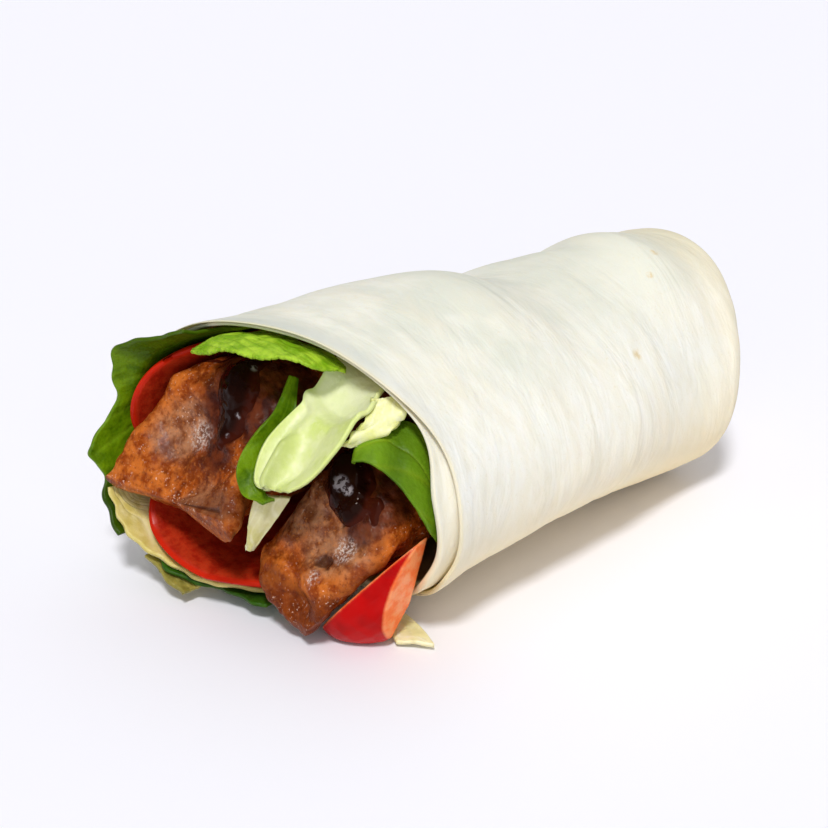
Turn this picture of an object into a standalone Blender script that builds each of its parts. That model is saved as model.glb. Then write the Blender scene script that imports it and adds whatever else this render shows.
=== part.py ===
"""A cig kofte wrap: thin flatbread rolled round two hand-squeezed kofte, tomato, lettuce and green leaves.

The roll lies along X on the table at Z = 0. Its open mouth faces -X and its tucked end faces +X.
Lengths are in metres. An angle phi runs round the roll: 0 is +Y, a quarter turn is the top.
"""

import math

import bmesh
import bpy
import numpy as np
from mathutils import Matrix, Vector, noise

# Driving dimensions of the roll
MOUTH_X = -0.066
END_X = 0.0670
MOUTH_WIDTH = 0.0925
MOUTH_HEIGHT = 0.0690
END_WIDTH = 0.067
END_HEIGHT = 0.0560
REST_SINK = 0.0010  # how much of the round section the flat under the roll cuts off

# The sheet of bread and its two layers at the mouth
SHEET = 0.0015
LAYER_GAP = 0.0004
WALL = 2 * SHEET + LAYER_GAP
GROOVE = 0.004
SEAM_PHI = math.radians(-38)
SEAM_TURN = math.radians(3)
CAVITY_END_X = 0.046

# Slants of the mouth and of the tucked end: metres along X for each metre across or up
MOUTH_SLANT_Y = -0.175
MOUTH_SLANT_Z = -0.085
END_SLANT_Y = 0.23
END_SLANT_Z = 0.29
END_ROUND = 0.012
END_PROFILE = 0.61  # below 1 the tucked end is blunter than an ellipse
LOWER_LIP_SETBACK = 0.010
INNER_LIP_REACH = 0.0036
TOP_LIP_SETBACK = 0.0022
LIP_THINNING = 0.45  # share of their thickness that the layers lose at the lip over the filling
THINNING_LENGTH = 0.012
LIP_EASE = 0.0008  # how much sooner the inner layer turns where it is set back
LIP_CALM = 0.012  # no humps or dents this near the lip

# Humps that the filling pushes up, and dents between them: (x, phi, length, turn, height)
HUMPS = (
    (-0.0196, 1.70, 0.0135, 0.60, 0.0039),
    (-0.0390, 1.45, 0.0145, 0.70, 0.0021),
    (0.0020, 1.30, 0.0100, 0.50, -0.0022),
    (0.0325, 1.15, 0.0045, 0.50, -0.0018),
    (0.0387, 1.75, 0.0112, 0.60, 0.0046),
    (0.0542, 1.84, 0.0222, 0.70, 0.0020),
    (0.0000, 3.20, 0.0260, 0.60, 0.0020),
    (0.0398, 2.74, 0.0198, 0.50, -0.0026),
    (-0.0150, -2.15, 0.0340, 0.55, -0.0034),
    (0.0478, -2.56, 0.0245, 0.55, 0.0022),
)

UNDERSIDE = -math.pi / 2
UNDERSIDE_FADE = (0.14, 0.50)  # angles from the underside between which the humps grow

# Depths of the linings inside the bread, from its inner face to the middle of each
LEAF_DEPTH = 0.0009
LETTUCE_DEPTH = 0.0023
TOMATO_THICKNESS = 0.0032
LEAF_THICKNESS = 0.0008
LETTUCE_THICKNESS = 0.0010

BREAD_RINGS = dict(end=9, side=14, inner=7)
BREAD_SEGMENTS = 52

COLOURS = {
    "bread": ((0.86, 0.82, 0.70), 0.6),
    "kofte": ((0.42, 0.13, 0.04), 0.4),
    "tomato": ((0.62, 0.03, 0.01), 0.3),
    "leaf": ((0.09, 0.27, 0.01), 0.4),
    "dark_leaf": ((0.03, 0.12, 0.01), 0.4),
    "lettuce": ((0.66, 0.75, 0.34), 0.4),
}


def smooth_step(value, low, high):
    """0 below low, 1 above high, and a smooth change between them."""
    share = np.clip((value - low) / (high - low), 0.0, 1.0)
    return share * share * (3 - 2 * share)


def bump(value, middle, reach):
    """A bell of height 1 round middle."""
    return np.exp(-(((value - middle) / reach) ** 2))


def turn_between(phi, middle):
    """The angle from middle to phi, the short way round."""
    return (phi - middle + math.pi) % (2 * math.pi) - math.pi


# ---------------------------------------------------------------- the roll


def half_sizes(x):
    """Half the width and half the height of the roll at x."""
    along = (x - MOUTH_X) / (END_X - MOUTH_X)
    width = MOUTH_WIDTH + (END_WIDTH - MOUTH_WIDTH) * along
    height = MOUTH_HEIGHT + (END_HEIGHT - MOUTH_HEIGHT) * along
    return width / 2, height / 2


def section_point(x, phi, inset, floor=0.0):
    """The point at x and phi, inset from the roll's outside, and no lower than floor."""
    half_width, half_height = half_sizes(x)
    y = (half_width - inset) * np.cos(phi)
    z = half_height - REST_SINK + (half_height - inset) * np.sin(phi)
    return np.stack([x + 0 * y, y, np.maximum(z, floor)], axis=-1)


def humps(x, phi):
    """How far the outside stands proud, or sinks where it is dented. The underside stays flat."""
    height = 0 * phi
    for at_x, at_phi, length, turn, tall in HUMPS:
        height = height + tall * bump(x, at_x, length) * bump(turn_between(phi, at_phi), 0, turn)
    return height * smooth_step(np.abs(turn_between(phi, UNDERSIDE)), *UNDERSIDE_FADE)


def seam_step(phi):
    """The outside spirals in by one sheet in a turn, and steps back at the free edge of the bread."""
    turned = turn_between(phi, SEAM_PHI + math.pi) + math.pi
    return SHEET * (1 - turned / (2 * math.pi)) * smooth_step(turned, 0, SEAM_TURN)


def lip_x(phi):
    """Where the outer layer of bread ends at the mouth."""
    half_width, half_height = half_sizes(MOUTH_X)
    across = half_width * np.cos(phi)
    up = half_height * np.sin(phi)
    low = smooth_step(-np.sin(phi), 0.45, 1.0)
    waves = 0.0007 * np.sin(3 * phi + 0.6) + 0.0005 * np.sin(7 * phi + 2.0)
    return MOUTH_X + MOUTH_SLANT_Y * across + MOUTH_SLANT_Z * up + LOWER_LIP_SETBACK * low + waves


def over_top(phi):
    """1 where the lip passes over the filling, 0 at the sides and below."""
    return smooth_step(np.sin(phi), 0.15, 0.65)


def thinning(x, phi):
    """What is left of the layers' thickness as they thin out towards the lip over the filling."""
    near_lip = smooth_step(lip_x(phi) + THINNING_LENGTH - x, 0, THINNING_LENGTH)
    return 1 - LIP_THINNING * near_lip * over_top(phi)


def layer_inset(x, phi, inset):
    """An inset inside the layers, less what they thin by, and deeper where the outside is dented."""
    step = seam_step(phi)
    lip = lip_x(phi)
    dent = np.maximum(0, -humps(x, phi)) * smooth_step(x, lip, lip + LIP_CALM)
    return step + (inset - step) * thinning(x, phi) + dent


def inner_lip_reach(phi):
    """How far the inner layer reaches out past the outer one: most on the near side, and back on top."""
    near = bump(turn_between(phi, 3.45), 0, 1.05)
    return 0.0008 + INNER_LIP_REACH * near + 0.0006 * np.sin(5 * phi) - TOP_LIP_SETBACK * over_top(phi)


def inner_lip_dip(phi):
    """How far the inner layer's lip hangs in from the outer layer."""
    return 0.0024 * bump(turn_between(phi, 2.75), 0, 0.75)


def end_x(phi):
    """Where the tucked end's flat face lies."""
    half_width, half_height = half_sizes(END_X)
    return END_X + END_SLANT_Y * half_width * np.cos(phi) + END_SLANT_Z * half_height * np.sin(phi)


def end_fold(phi, share):
    """Depth of the folds in the tucked end, from its rim (share 0) to its middle (share 1)."""
    pleat = 0.0008 * (1 + np.cos(5 * phi + 4 * share)) * bump(share, 0.55, 0.25)
    return 0.0040 * smooth_step(share, 0.35, 0.85) + pleat


def layer_point(x, phi, inset):
    """A point at the nominal inset inside the layers."""
    inset = layer_inset(x, phi, inset)
    return section_point(x, phi, inset, inset)


def bread_rings(phi, end, side, inner):
    """Rings of points from the tucked end, over the outside, round both lips and back inside."""
    lip = lip_x(phi)
    step = seam_step(phi)
    shoulder = end_x(phi) - END_ROUND
    rings = []
    for k in range(end, 0, -1):
        share = k / (end + 0.4)
        angle = share * math.pi / 2
        half_width, half_height = half_sizes(shoulder)
        shrink = 1 - math.cos(angle) ** END_PROFILE
        x = shoulder + END_ROUND * math.sin(angle) - end_fold(phi, share)
        x = x + (END_X - end_x(phi)) * share**4
        ring = section_point(x, phi, step * (1 - share) - humps(x, phi) * (1 - share))
        middle = np.array([0.0, 0.0, 1.0]) * (END_HEIGHT / 2)
        ring[:, 1:] = middle[1:] + (ring[:, 1:] - middle[1:]) * (1 - shrink)
        rings.append(ring)
    for k in range(side + 1):
        x = shoulder + (lip - shoulder) * k / side
        proud = humps(x, phi) * smooth_step(x, lip, lip + LIP_CALM)
        rings.append(section_point(x, phi, step - proud))
    reach = inner_lip_reach(phi)
    dip = inner_lip_dip(phi)
    inner_top = SHEET + LAYER_GAP
    under_outer = 0.92 * SHEET + 0.3 * step
    for ahead, inset in (
        (0 * phi, under_outer),
        (-GROOVE + 0 * phi, under_outer),
        (-GROOVE + 0 * phi, inner_top + 0 * phi),
        (0.4 * reach - LIP_EASE * over_top(phi), inner_top + 0.8 * dip),
        (0.95 * reach + 0.0004, inner_top + dip),
        (reach + 0.0009, inner_top + 0.5 * SHEET + dip),
        (0.95 * reach + 0.0004, WALL + dip),
    ):
        rings.append(layer_point(lip - ahead, phi, inset))
    for k in range(inner + 1):
        x = lip + 0.006 + (CAVITY_END_X - lip - 0.006) * k / inner
        rings.append(layer_point(x, phi, WALL))
    return rings


def rolled_bread():
    phi = (np.arange(BREAD_SEGMENTS) + 0.5) * 2 * math.pi / BREAD_SEGMENTS
    rings = bread_rings(phi, **BREAD_RINGS)
    inner_pole = rings[-1].mean(axis=0) + np.array([0.002, 0, 0])
    return ringed_object("flatbread", "bread", rings, rings[0].mean(axis=0), inner_pole)


# ---------------------------------------------------------------- making objects


def clear_scene():
    for old in list(bpy.data.objects):
        bpy.data.objects.remove(old)


def material(name):
    """The named colour as a Principled BSDF, made once."""
    made = bpy.data.materials.get(name)
    if made is None:
        colour, roughness = COLOURS[name]
        made = bpy.data.materials.new(name)
        made.use_nodes = True
        shader = made.node_tree.nodes["Principled BSDF"]
        shader.inputs["Base Color"].default_value = (*colour, 1)
        shader.inputs["Roughness"].default_value = roughness
        shader.inputs["Metallic"].default_value = 0
        made.diffuse_color = (*colour, 1)
    return made


def add_object(name, mesh, colour):
    made = bpy.data.objects.new(name, mesh)
    mesh.materials.append(material(colour))
    wrap_collection().objects.link(made)
    mesh.shade_smooth()
    mesh.set_sharp_from_angle(angle=math.radians(50))
    return made


def wrap_collection():
    made = bpy.data.collections.get("cig_kofte_wrap")
    if made is None:
        made = bpy.data.collections.new("cig_kofte_wrap")
        bpy.context.scene.collection.children.link(made)
    return made


def ringed_object(name, colour, rings, first_pole, last_pole):
    """A ball whose rings of latitude are moved to the given rings, and its poles to the given points."""
    mesh = bpy.data.meshes.new(name)
    shape = bmesh.new()
    segments, bands = len(rings[0]), len(rings) + 1
    bmesh.ops.create_uvsphere(shape, u_segments=segments, v_segments=bands, radius=1)
    for vertex in shape.verts:
        height = max(-1.0, min(1.0, vertex.co.z))
        ring = round(math.acos(height) / math.pi * bands)
        turn = round(math.atan2(vertex.co.y, vertex.co.x) / (2 * math.pi) * segments)
        if ring == 0:
            vertex.co = first_pole
        elif ring == bands:
            vertex.co = last_pole
        else:
            vertex.co = rings[ring - 1][turn % segments]
    shape.to_mesh(mesh)
    shape.free()
    return add_object(name, mesh, colour)


def thin_sheet(name, colour, place, steps, thickness):
    """A grid laid out by place(u, v), u and v from 0 to 1, and thickened half to each side."""
    mesh = bpy.data.meshes.new(name)
    shape = bmesh.new()
    bmesh.ops.create_grid(shape, x_segments=steps[0], y_segments=steps[1], size=0.5)
    for vertex in shape.verts:
        vertex.co = place(vertex.co.x + 0.5, vertex.co.y + 0.5)
    bmesh.ops.triangulate(shape, faces=shape.faces)
    shape.to_mesh(mesh)
    shape.free()
    made = add_object(name, mesh, colour)
    thicken = made.modifiers.new("thickness", "SOLIDIFY")
    thicken.thickness = thickness
    thicken.offset = 0
    return made


# ---------------------------------------------------------------- kofte

# Sections of each kofte along the roll, in metres:
# x, middle y and z, reach to the left (+Y), up, right and down, and squareness (2 is an ellipse)
KOFTE_LEFT = (
    (0.040, 0.012, 0.027, 0.011, 0.011, 0.010, 0.010, 2.1),
    (0.000, 0.012, 0.031, 0.013, 0.013, 0.013, 0.013, 2.1),
    (-0.040, 0.012, 0.034, 0.014, 0.015, 0.015, 0.013, 2.1),
    (-0.058, 0.012, 0.0375, 0.015, 0.016, 0.015, 0.015, 2.3),
    (-0.070, 0.014, 0.036, 0.018, 0.018, 0.016, 0.015, 2.5),
    (-0.079, 0.017, 0.031, 0.018, 0.014, 0.017, 0.010, 2.1),
    (-0.0885, 0.017, 0.0262, 0.021, 0.0048, 0.0215, 0.0050, 1.7),
)
KOFTE_RIGHT = (
    (0.040, -0.013, 0.023, 0.010, 0.010, 0.011, 0.010, 2.1),
    (0.000, -0.014, 0.025, 0.012, 0.012, 0.013, 0.012, 2.1),
    (-0.040, -0.015, 0.027, 0.011, 0.013, 0.014, 0.012, 2.0),
    (-0.058, -0.016, 0.0275, 0.010, 0.013, 0.015, 0.012, 1.9),
    (-0.068, -0.016, 0.0235, 0.013, 0.013, 0.015, 0.011, 1.5),
    (-0.0765, -0.014, 0.014, 0.0135, 0.007, 0.0115, 0.0115, 1.15),
    (-0.0805, -0.0154, 0.0062, 0.0045, 0.0035, 0.0045, 0.0045, 1.3),
)
# Where fingers pressed or pulled each kofte: x, y, z, reach, then the move along X, Y and Z
PRESSES_LEFT = (
    (-0.0850, 0.0385, 0.0265, 0.0045, -0.0006, 0.0006, -0.0014),
    (-0.0775, 0.0205, 0.0375, 0.0090, 0.0020, 0.0016, -0.0014),
    (-0.0730, 0.0100, 0.0440, 0.0070, 0.0014, 0.0012, -0.0010),
    (-0.0840, 0.0120, 0.0310, 0.0050, 0.0010, 0.0008, -0.0006),
    (-0.0810, 0.0340, 0.0345, 0.0060, -0.0012, 0.0014, 0.0014),
    (-0.0730, 0.0290, 0.0460, 0.0060, -0.0010, 0.0012, 0.0012),
    (-0.0880, 0.0050, 0.0230, 0.0065, -0.0002, -0.0008, -0.0016),
)
PRESSES_RIGHT = (
    (-0.0726, -0.0187, 0.0275, 0.0070, 0.0018, 0.0014, -0.0012),
    (-0.0670, -0.0200, 0.0360, 0.0060, 0.0012, 0.0010, -0.0008),
    (-0.0785, -0.0080, 0.0150, 0.0032, -0.0012, -0.0004, 0.0012),
    (-0.0775, -0.0175, 0.0165, 0.0036, -0.0014, -0.0008, 0.0010),
    (-0.0730, -0.0250, 0.0205, 0.0036, -0.0008, -0.0008, 0.0010),
    (-0.0800, -0.0120, 0.0090, 0.0040, 0.0012, -0.0010, 0.0004),
)
# Thick drizzles of molasses on each kofte: (x, y, z of the middle, radius, height)
DRIZZLE_LEFT = ((-0.068, 0.008, 0.055, 0.0055, 0.0012), (-0.076, 0.006, 0.045, 0.0045, 0.0010))
DRIZZLE_RIGHT = ((-0.064, -0.020, 0.038, 0.0060, 0.0014),)
CRAG_SIZE = 0.009
CRAG_DEPTH = 0.0011


def eased_row(rows, share):
    """The row at share, 0 to 1, of a smooth curve through the rows (Catmull-Rom)."""
    rows = np.array(rows)
    at = share * (len(rows) - 1)
    k = min(int(at), len(rows) - 2)
    t = at - k
    before = rows[max(k - 1, 0)]
    after = rows[min(k + 2, len(rows) - 1)]
    return 0.5 * (
        2 * rows[k]
        + (rows[k + 1] - before) * t
        + (2 * before - 5 * rows[k] + 4 * rows[k + 1] - after) * t**2
        + (3 * rows[k] - before - 3 * rows[k + 1] + after) * t**3
    )


def kofte_section(row, phi):
    """One section: four quarter superellipses that meet at the left, top, right and bottom reach."""
    x, y, z, left, up, right, down, square = row
    cosine, sine = np.cos(phi), np.sin(phi)
    across = np.where(cosine > 0, left, right)
    tall = np.where(sine > 0, up, down)
    radius = (np.abs(cosine) ** square + np.abs(sine) ** square) ** (-1 / square)
    return np.stack([x + 0 * phi, y + across * radius * cosine, z + tall * radius * sine], axis=-1)


def crag(point):
    """Height of the crumbly relief at a point, about -1 to 1."""
    at = Vector(point) / CRAG_SIZE
    return 0.7 * noise.noise(at) + 0.5 * noise.noise(at * 2.3 + Vector((7, 3, 5)))


def pressed(points, presses):
    """The points moved where fingers pressed, each with a soft fall-off."""
    moved = points.copy()
    for x, y, z, reach, *move in presses:
        away = np.linalg.norm(points - np.array((x, y, z)), axis=-1)
        moved += bump(away, 0, reach)[..., None] * np.array(move)
    return moved


def kofte(name, rows, hollow, presses, drizzles, rings=25, segments=36):
    """A squeezed piece of kofte: a sphere whose rings follow the sections, with crags and drizzles."""
    phi = np.arange(segments) * 2 * math.pi / segments
    placed = []
    for k in range(rings):
        share = (k / (rings - 1)) ** 0.62
        ring = kofte_section(eased_row(rows, share), phi)
        ring[:, 0] += hollow * smooth_step(share, 0.6, 1.0) * np.sin(phi) ** 2
        placed.append(pressed(ring, presses))
    back_pole = placed[0].mean(axis=0) + np.array([0.003, 0, 0])
    front_pole = placed[-1].mean(axis=0) + np.array([-0.0008, 0, 0])
    made = ringed_object(name, "kofte", placed, back_pole, front_pole)
    normals = [Vector(vertex.normal) for vertex in made.data.vertices]
    for vertex, normal in zip(made.data.vertices, normals):
        height = CRAG_DEPTH * crag(vertex.co)
        for x, y, z, radius, tall in drizzles:
            away = (vertex.co - Vector((x, y, z))).length
            height += tall * float(bump(away, 0, radius))
        vertex.co += normal * height
    return made


# ---------------------------------------------------------------- linings inside the bread

TOMATO_UPPER = dict(middle_x=-0.0445, middle_phi=math.radians(24), radius=0.0340, skew=0.22)
TOMATO_LOWER = dict(middle_x=-0.0540, middle_phi=math.radians(-68.5), radius=0.0310, skew=-0.28)
UPPER_DEPTH = 0.0034
LOWER_DEPTH = 0.0051
LOWER_DEPTH_AT_OVERLAP = 0.0076
TOMATO_TURN_RADIUS = 0.035
FLARE = 0.28  # how far the left leaf leans out for each metre past the lip
CORNER_FLARE = 0.60  # more, where the upper corner of the leaf folds out


def lining_point(x, phi, depth):
    """A point at depth in from the bread's inner face, also past the mouth."""
    x, phi = np.float64(x), np.float64(phi)
    inset = layer_inset(x, phi, WALL) + depth
    return section_point(x, phi, inset, inset)


def lining(name, colour, turn, back_x, front_x, depth, steps, thickness):
    """A sheet that lines the roll; u runs over turn, and v from back_x(phi) to front_x(phi)."""

    def place(u, v):
        phi = turn[0] + (turn[1] - turn[0]) * u
        x = back_x(phi) + (front_x(phi) - back_x(phi)) * v
        return lining_point(x, phi, depth(x, phi))

    return thin_sheet(name, colour, place, steps, thickness)


def tomato_slice(name, middle_x, middle_phi, radius, skew, depth, steps=9):
    """A round slice bent along the inside of the roll."""

    def place(u, v):
        across, along = 2 * u - 1, 2 * v - 1
        turned = radius * across * math.sqrt(1 - along * along / 2)
        forward = radius * along * math.sqrt(1 - across * across / 2)
        phi = middle_phi + turned / TOMATO_TURN_RADIUS
        return lining_point(middle_x - forward + skew * turned, phi, depth(phi))

    return thin_sheet(name, "tomato", place, (steps, steps), TOMATO_THICKNESS)


def tomatoes():
    def lower_depth(phi):
        rise = smooth_step(phi, math.radians(-48), math.radians(-30))
        return LOWER_DEPTH + (LOWER_DEPTH_AT_OVERLAP - LOWER_DEPTH) * rise

    tomato_slice("tomato_slice_upper", depth=lambda phi: UPPER_DEPTH, **TOMATO_UPPER)
    tomato_slice("tomato_slice_lower", depth=lower_depth, **TOMATO_LOWER)


def degrees_between(phi, low, high):
    return smooth_step(phi, math.radians(low), math.radians(high))


def leaf_left():
    def front(phi):
        point = 0.0022 * bump(phi, math.radians(-9), 0.06)
        back = 0.0030 * degrees_between(phi, -30, -18) + 0.0052 * degrees_between(phi, -5, 12)
        top = 0.0030 * degrees_between(phi, 30, 62)
        return -0.0897 + back + top - point + 0.0007 * math.sin(9 * phi)

    def depth(x, phi):
        past = max(0.0, lip_x(phi) - 0.0026 - x)
        flare = FLARE * degrees_between(phi, -10, 40) + 0.06 * degrees_between(-phi, 15, 30)
        flare = flare + CORNER_FLARE * bump(phi, math.radians(33), 0.26)
        return LEAF_DEPTH - past * flare

    turn = (math.radians(62), math.radians(-42))
    lining("leaf_left", "leaf", turn, lambda phi: -0.030, front, depth, (18, 9), LEAF_THICKNESS)


def leaf_under():
    def front(phi):
        return -0.0855 + 0.008 * degrees_between(-phi, 55, 95) + 0.0010 * math.sin(13 * phi)

    turn = (math.radians(-46), math.radians(-94))
    lining("leaf_under", "dark_leaf", turn, lambda phi: -0.050, front, lambda x, phi: LEAF_DEPTH,
           (11, 6), LEAF_THICKNESS)


def lettuce_sheet():
    def front(phi):
        return -0.0885 + 0.014 * degrees_between(-phi, 45, 100) + 0.0006 * math.sin(11 * phi)

    def back(phi):
        return -0.040 - 0.040 * degrees_between(phi, -48, -30)

    turn = (math.radians(-24), math.radians(-100))
    lining("lettuce_sheet", "lettuce", turn, back, front, lambda x, phi: LETTUCE_DEPTH, (17, 7),
           LETTUCE_THICKNESS)


def lettuce_scrap():
    turn = (math.radians(-52), math.radians(-70))
    lining("lettuce_scrap", "lettuce", turn, lambda phi: -0.070, lambda phi: -0.0865,
           lambda x, phi: -0.0008, (6, 5), LETTUCE_THICKNESS)


# ---------------------------------------------------------------- free leaves and lettuce

# Rows along each leaf, in metres: middle x, y, z, then the vector from the middle to one edge, then
# how far the edges stand off the middle
MINT = (
    (-0.0795, 0.0165, 0.0600, 0.0006, 0.0006, 0.0000, 0.000),
    (-0.0752, 0.0120, 0.0627, 0.0050, 0.0040, -0.0008, 0.001),
    (-0.0708, 0.0030, 0.0640, 0.0070, 0.0060, -0.0012, 0.001),
    (-0.0655, -0.0060, 0.0624, 0.0060, 0.0056, -0.0014, 0.001),
    (-0.0622, -0.0130, 0.0592, 0.0010, 0.0010, 0.0000, 0.000),
)
LEAF_CENTRE = (
    (-0.0655, -0.0003, 0.0548, 0.0008, -0.0004, -0.0004, 0.000),
    (-0.0705, -0.0028, 0.0490, 0.0018, -0.0008, -0.0012, 0.000),
    (-0.0762, -0.0032, 0.0438, 0.0026, -0.0014, -0.0018, 0.000),
    (-0.0815, -0.0040, 0.0390, 0.0023, -0.0020, -0.0013, 0.000),
    (-0.0832, -0.0066, 0.0350, 0.0017, -0.0020, -0.0002, 0.000),
    (-0.0825, -0.0105, 0.0342, 0.0008, -0.0008, 0.0006, 0.000),
)
LEAF_RIGHT = (
    (-0.0592, -0.0390, 0.0275, 0.0018, 0.0002, 0.0000, 0.000),
    (-0.0594, -0.0392, 0.0320, 0.0050, 0.0006, 0.0000, 0.000),
    (-0.0600, -0.0375, 0.0385, 0.0070, 0.0010, 0.0004, 0.000),
    (-0.0620, -0.0335, 0.0452, 0.0068, 0.0010, 0.0016, 0.000),
    (-0.0648, -0.0284, 0.0484, 0.0066, 0.0014, 0.0024, 0.000),
    (-0.0668, -0.0250, 0.0476, 0.0056, 0.0014, 0.0020, 0.000),
    (-0.0676, -0.0232, 0.0452, 0.0034, 0.0010, 0.0010, 0.000),
)
LETTUCE_CURL = (
    (-0.0350, -0.0080, 0.0520, 0.0000, -0.0080, -0.0010, -0.002),
    (-0.0580, -0.0140, 0.0575, 0.0000, -0.0080, -0.0010, -0.001),
    (-0.0660, -0.0155, 0.0530, 0.0000, -0.0095, 0.0010, -0.002),
    (-0.0746, -0.0148, 0.0456, 0.0020, -0.0095, 0.0010, -0.003),
    (-0.0812, -0.0136, 0.0398, 0.0018, -0.0072, 0.0010, -0.001),
    (-0.0828, -0.0130, 0.0379, 0.0008, -0.0036, 0.0004, 0.000),
)
LETTUCE_FRILL = (
    (-0.0606, -0.0258, 0.0562, 0.0026, -0.0012, 0.0000, 0.000),
    (-0.0640, -0.0280, 0.0530, 0.0024, -0.0012, 0.0004, 0.000),
    (-0.0672, -0.0272, 0.0506, 0.0020, -0.0012, 0.0002, 0.000),
    (-0.0702, -0.0238, 0.0474, 0.0010, -0.0006, 0.0000, 0.000),
)
LETTUCE_TAB = (
    (-0.0795, -0.0085, 0.0340, 0.0026, -0.0026, -0.0005, 0.000),
    (-0.0806, -0.0060, 0.0280, 0.0020, -0.0020, -0.0003, 0.000),
    (-0.0820, -0.0030, 0.0200, 0.0005, -0.0005, 0.0000, 0.000),
)
LETTUCE_STRIP = (
    (-0.0580, -0.0225, 0.0017, 0.0024, -0.0020, 0.0000, 0.000),
    (-0.0600, -0.0290, 0.0014, 0.0025, -0.0027, 0.0000, 0.000),
    (-0.0625, -0.0345, 0.0012, 0.0024, -0.0034, 0.0000, 0.000),
)


def free_leaf(name, colour, rows, steps, thickness, wave=0.0, waves=3.0, teeth=0.0):
    """A sheet along rows. Its edges wave, and teeth is a share of its width."""

    def place(u, v):
        row = eased_row(rows, v)
        ahead = eased_row(rows, min(1.0, v + 0.02))[:3] - eased_row(rows, max(0.0, v - 0.02))[:3]
        edge = row[3:6]
        normal = np.cross(edge, ahead)
        normal = normal / max(1e-9, np.linalg.norm(normal))
        side = 2 * u - 1
        jag = 1 + teeth * (2 * ((steps[1] - 1) * v / 2 % 1.0) - 1) * side * side
        lift = row[6] * side * side + wave * side * side * math.sin(2 * math.pi * waves * v + 1.3 * side)
        return row[:3] + edge * side * jag + normal * lift

    return thin_sheet(name, colour, place, steps, thickness)


def free_leaves():
    free_leaf("mint_leaf", "leaf", MINT, (5, 15), LEAF_THICKNESS, wave=0.0006, teeth=0.08)
    free_leaf("leaf_centre", "leaf", LEAF_CENTRE, (5, 15), LEAF_THICKNESS, wave=0.0004, teeth=0.1)
    free_leaf("leaf_right", "leaf", LEAF_RIGHT, (6, 15), LEAF_THICKNESS, wave=0.0003, waves=2.0)
    free_leaf("lettuce_curl", "lettuce", LETTUCE_CURL, (11, 15), LETTUCE_THICKNESS, wave=0.001, waves=2.0)
    free_leaf("lettuce_frill", "lettuce", LETTUCE_FRILL, (5, 9), LETTUCE_THICKNESS, wave=0.0004, waves=1.5)
    free_leaf("lettuce_tab", "lettuce", LETTUCE_TAB, (4, 7), LETTUCE_THICKNESS)
    free_leaf("lettuce_strip", "lettuce", LETTUCE_STRIP, (4, 7), LETTUCE_THICKNESS)


# ---------------------------------------------------------------- tomato wedge

WEDGE_MIDDLE = Vector((-0.0638, -0.0272, 0.0138))
WEDGE_LONG_WAY = Vector((0.42, -0.58, 0.70))
WEDGE_OUTWARD = Vector((-0.60, -0.62, -0.20))
WEDGE_HALF_SIZES = (0.0125, 0.0090, 0.0185)  # across, outward and along
# Flat cuts through the wedge: a point on each, and the side that is cut away
WEDGE_CUTS = (
    (Vector((-0.0637, -0.0250, 0.0142)), Vector((-0.150, 0.735, 0.660))),
    (Vector((-0.0595, -0.0352, 0.0225)), Vector((0.070, -0.950, -0.250))),
    (Vector((-0.0614, -0.0319, 0.0102)), Vector((0.950, -0.280, -0.120))),
    (Vector((-0.0638, -0.0272, 0.0006)), Vector((0.000, 0.000, -1.000))),
    (Vector((-0.0600, -0.0250, 0.0110)), Vector((0.750, -0.100, -0.400))),
)


def tomato_wedge():
    """A piece of tomato: a ball with its skin outwards, and flat cuts."""
    mesh = bpy.data.meshes.new("tomato_wedge")
    shape = bmesh.new()
    bmesh.ops.create_uvsphere(shape, u_segments=20, v_segments=12, radius=1)
    long_way = WEDGE_LONG_WAY.normalized()
    side_way = long_way.cross(WEDGE_OUTWARD).normalized()
    outward = side_way.cross(long_way)
    turn = Matrix((side_way, outward, long_way)).transposed()
    size = Matrix.Diagonal(WEDGE_HALF_SIZES)
    for vertex in shape.verts:
        vertex.co = turn @ (size @ vertex.co) + WEDGE_MIDDLE
    for point, away in WEDGE_CUTS:
        everything = shape.verts[:] + shape.edges[:] + shape.faces[:]
        cut = bmesh.ops.bisect_plane(
            shape, geom=everything, plane_co=point, plane_no=away, clear_outer=True)
        rim = [item for item in cut["geom_cut"] if isinstance(item, bmesh.types.BMEdge)]
        bmesh.ops.edgeloop_fill(shape, edges=rim)
    bmesh.ops.recalc_face_normals(shape, faces=shape.faces)
    shape.to_mesh(mesh)
    shape.free()
    return add_object("tomato_wedge", mesh, "tomato")


def main():
    clear_scene()
    rolled_bread()
    kofte("kofte_left", KOFTE_LEFT, 0.0060, PRESSES_LEFT, DRIZZLE_LEFT)
    kofte("kofte_right", KOFTE_RIGHT, 0.0025, PRESSES_RIGHT, DRIZZLE_RIGHT)
    tomatoes()
    tomato_wedge()
    leaf_left()
    leaf_under()
    lettuce_sheet()
    lettuce_scrap()
    free_leaves()


main()
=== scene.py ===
"""The looks of a cig kofte wrap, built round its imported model: bread, kofte, molasses, tomato and leaves.

The roll lies along X on the floor at Z = 0, with its open mouth at -X. Lengths are in metres, but tables of
rows, paths and spots give them in millimetres.
An angle phi runs round the roll: 0 is +Y, a quarter turn is the top.
"""

import math

import bpy
import numpy as np
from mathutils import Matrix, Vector, noise


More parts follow.
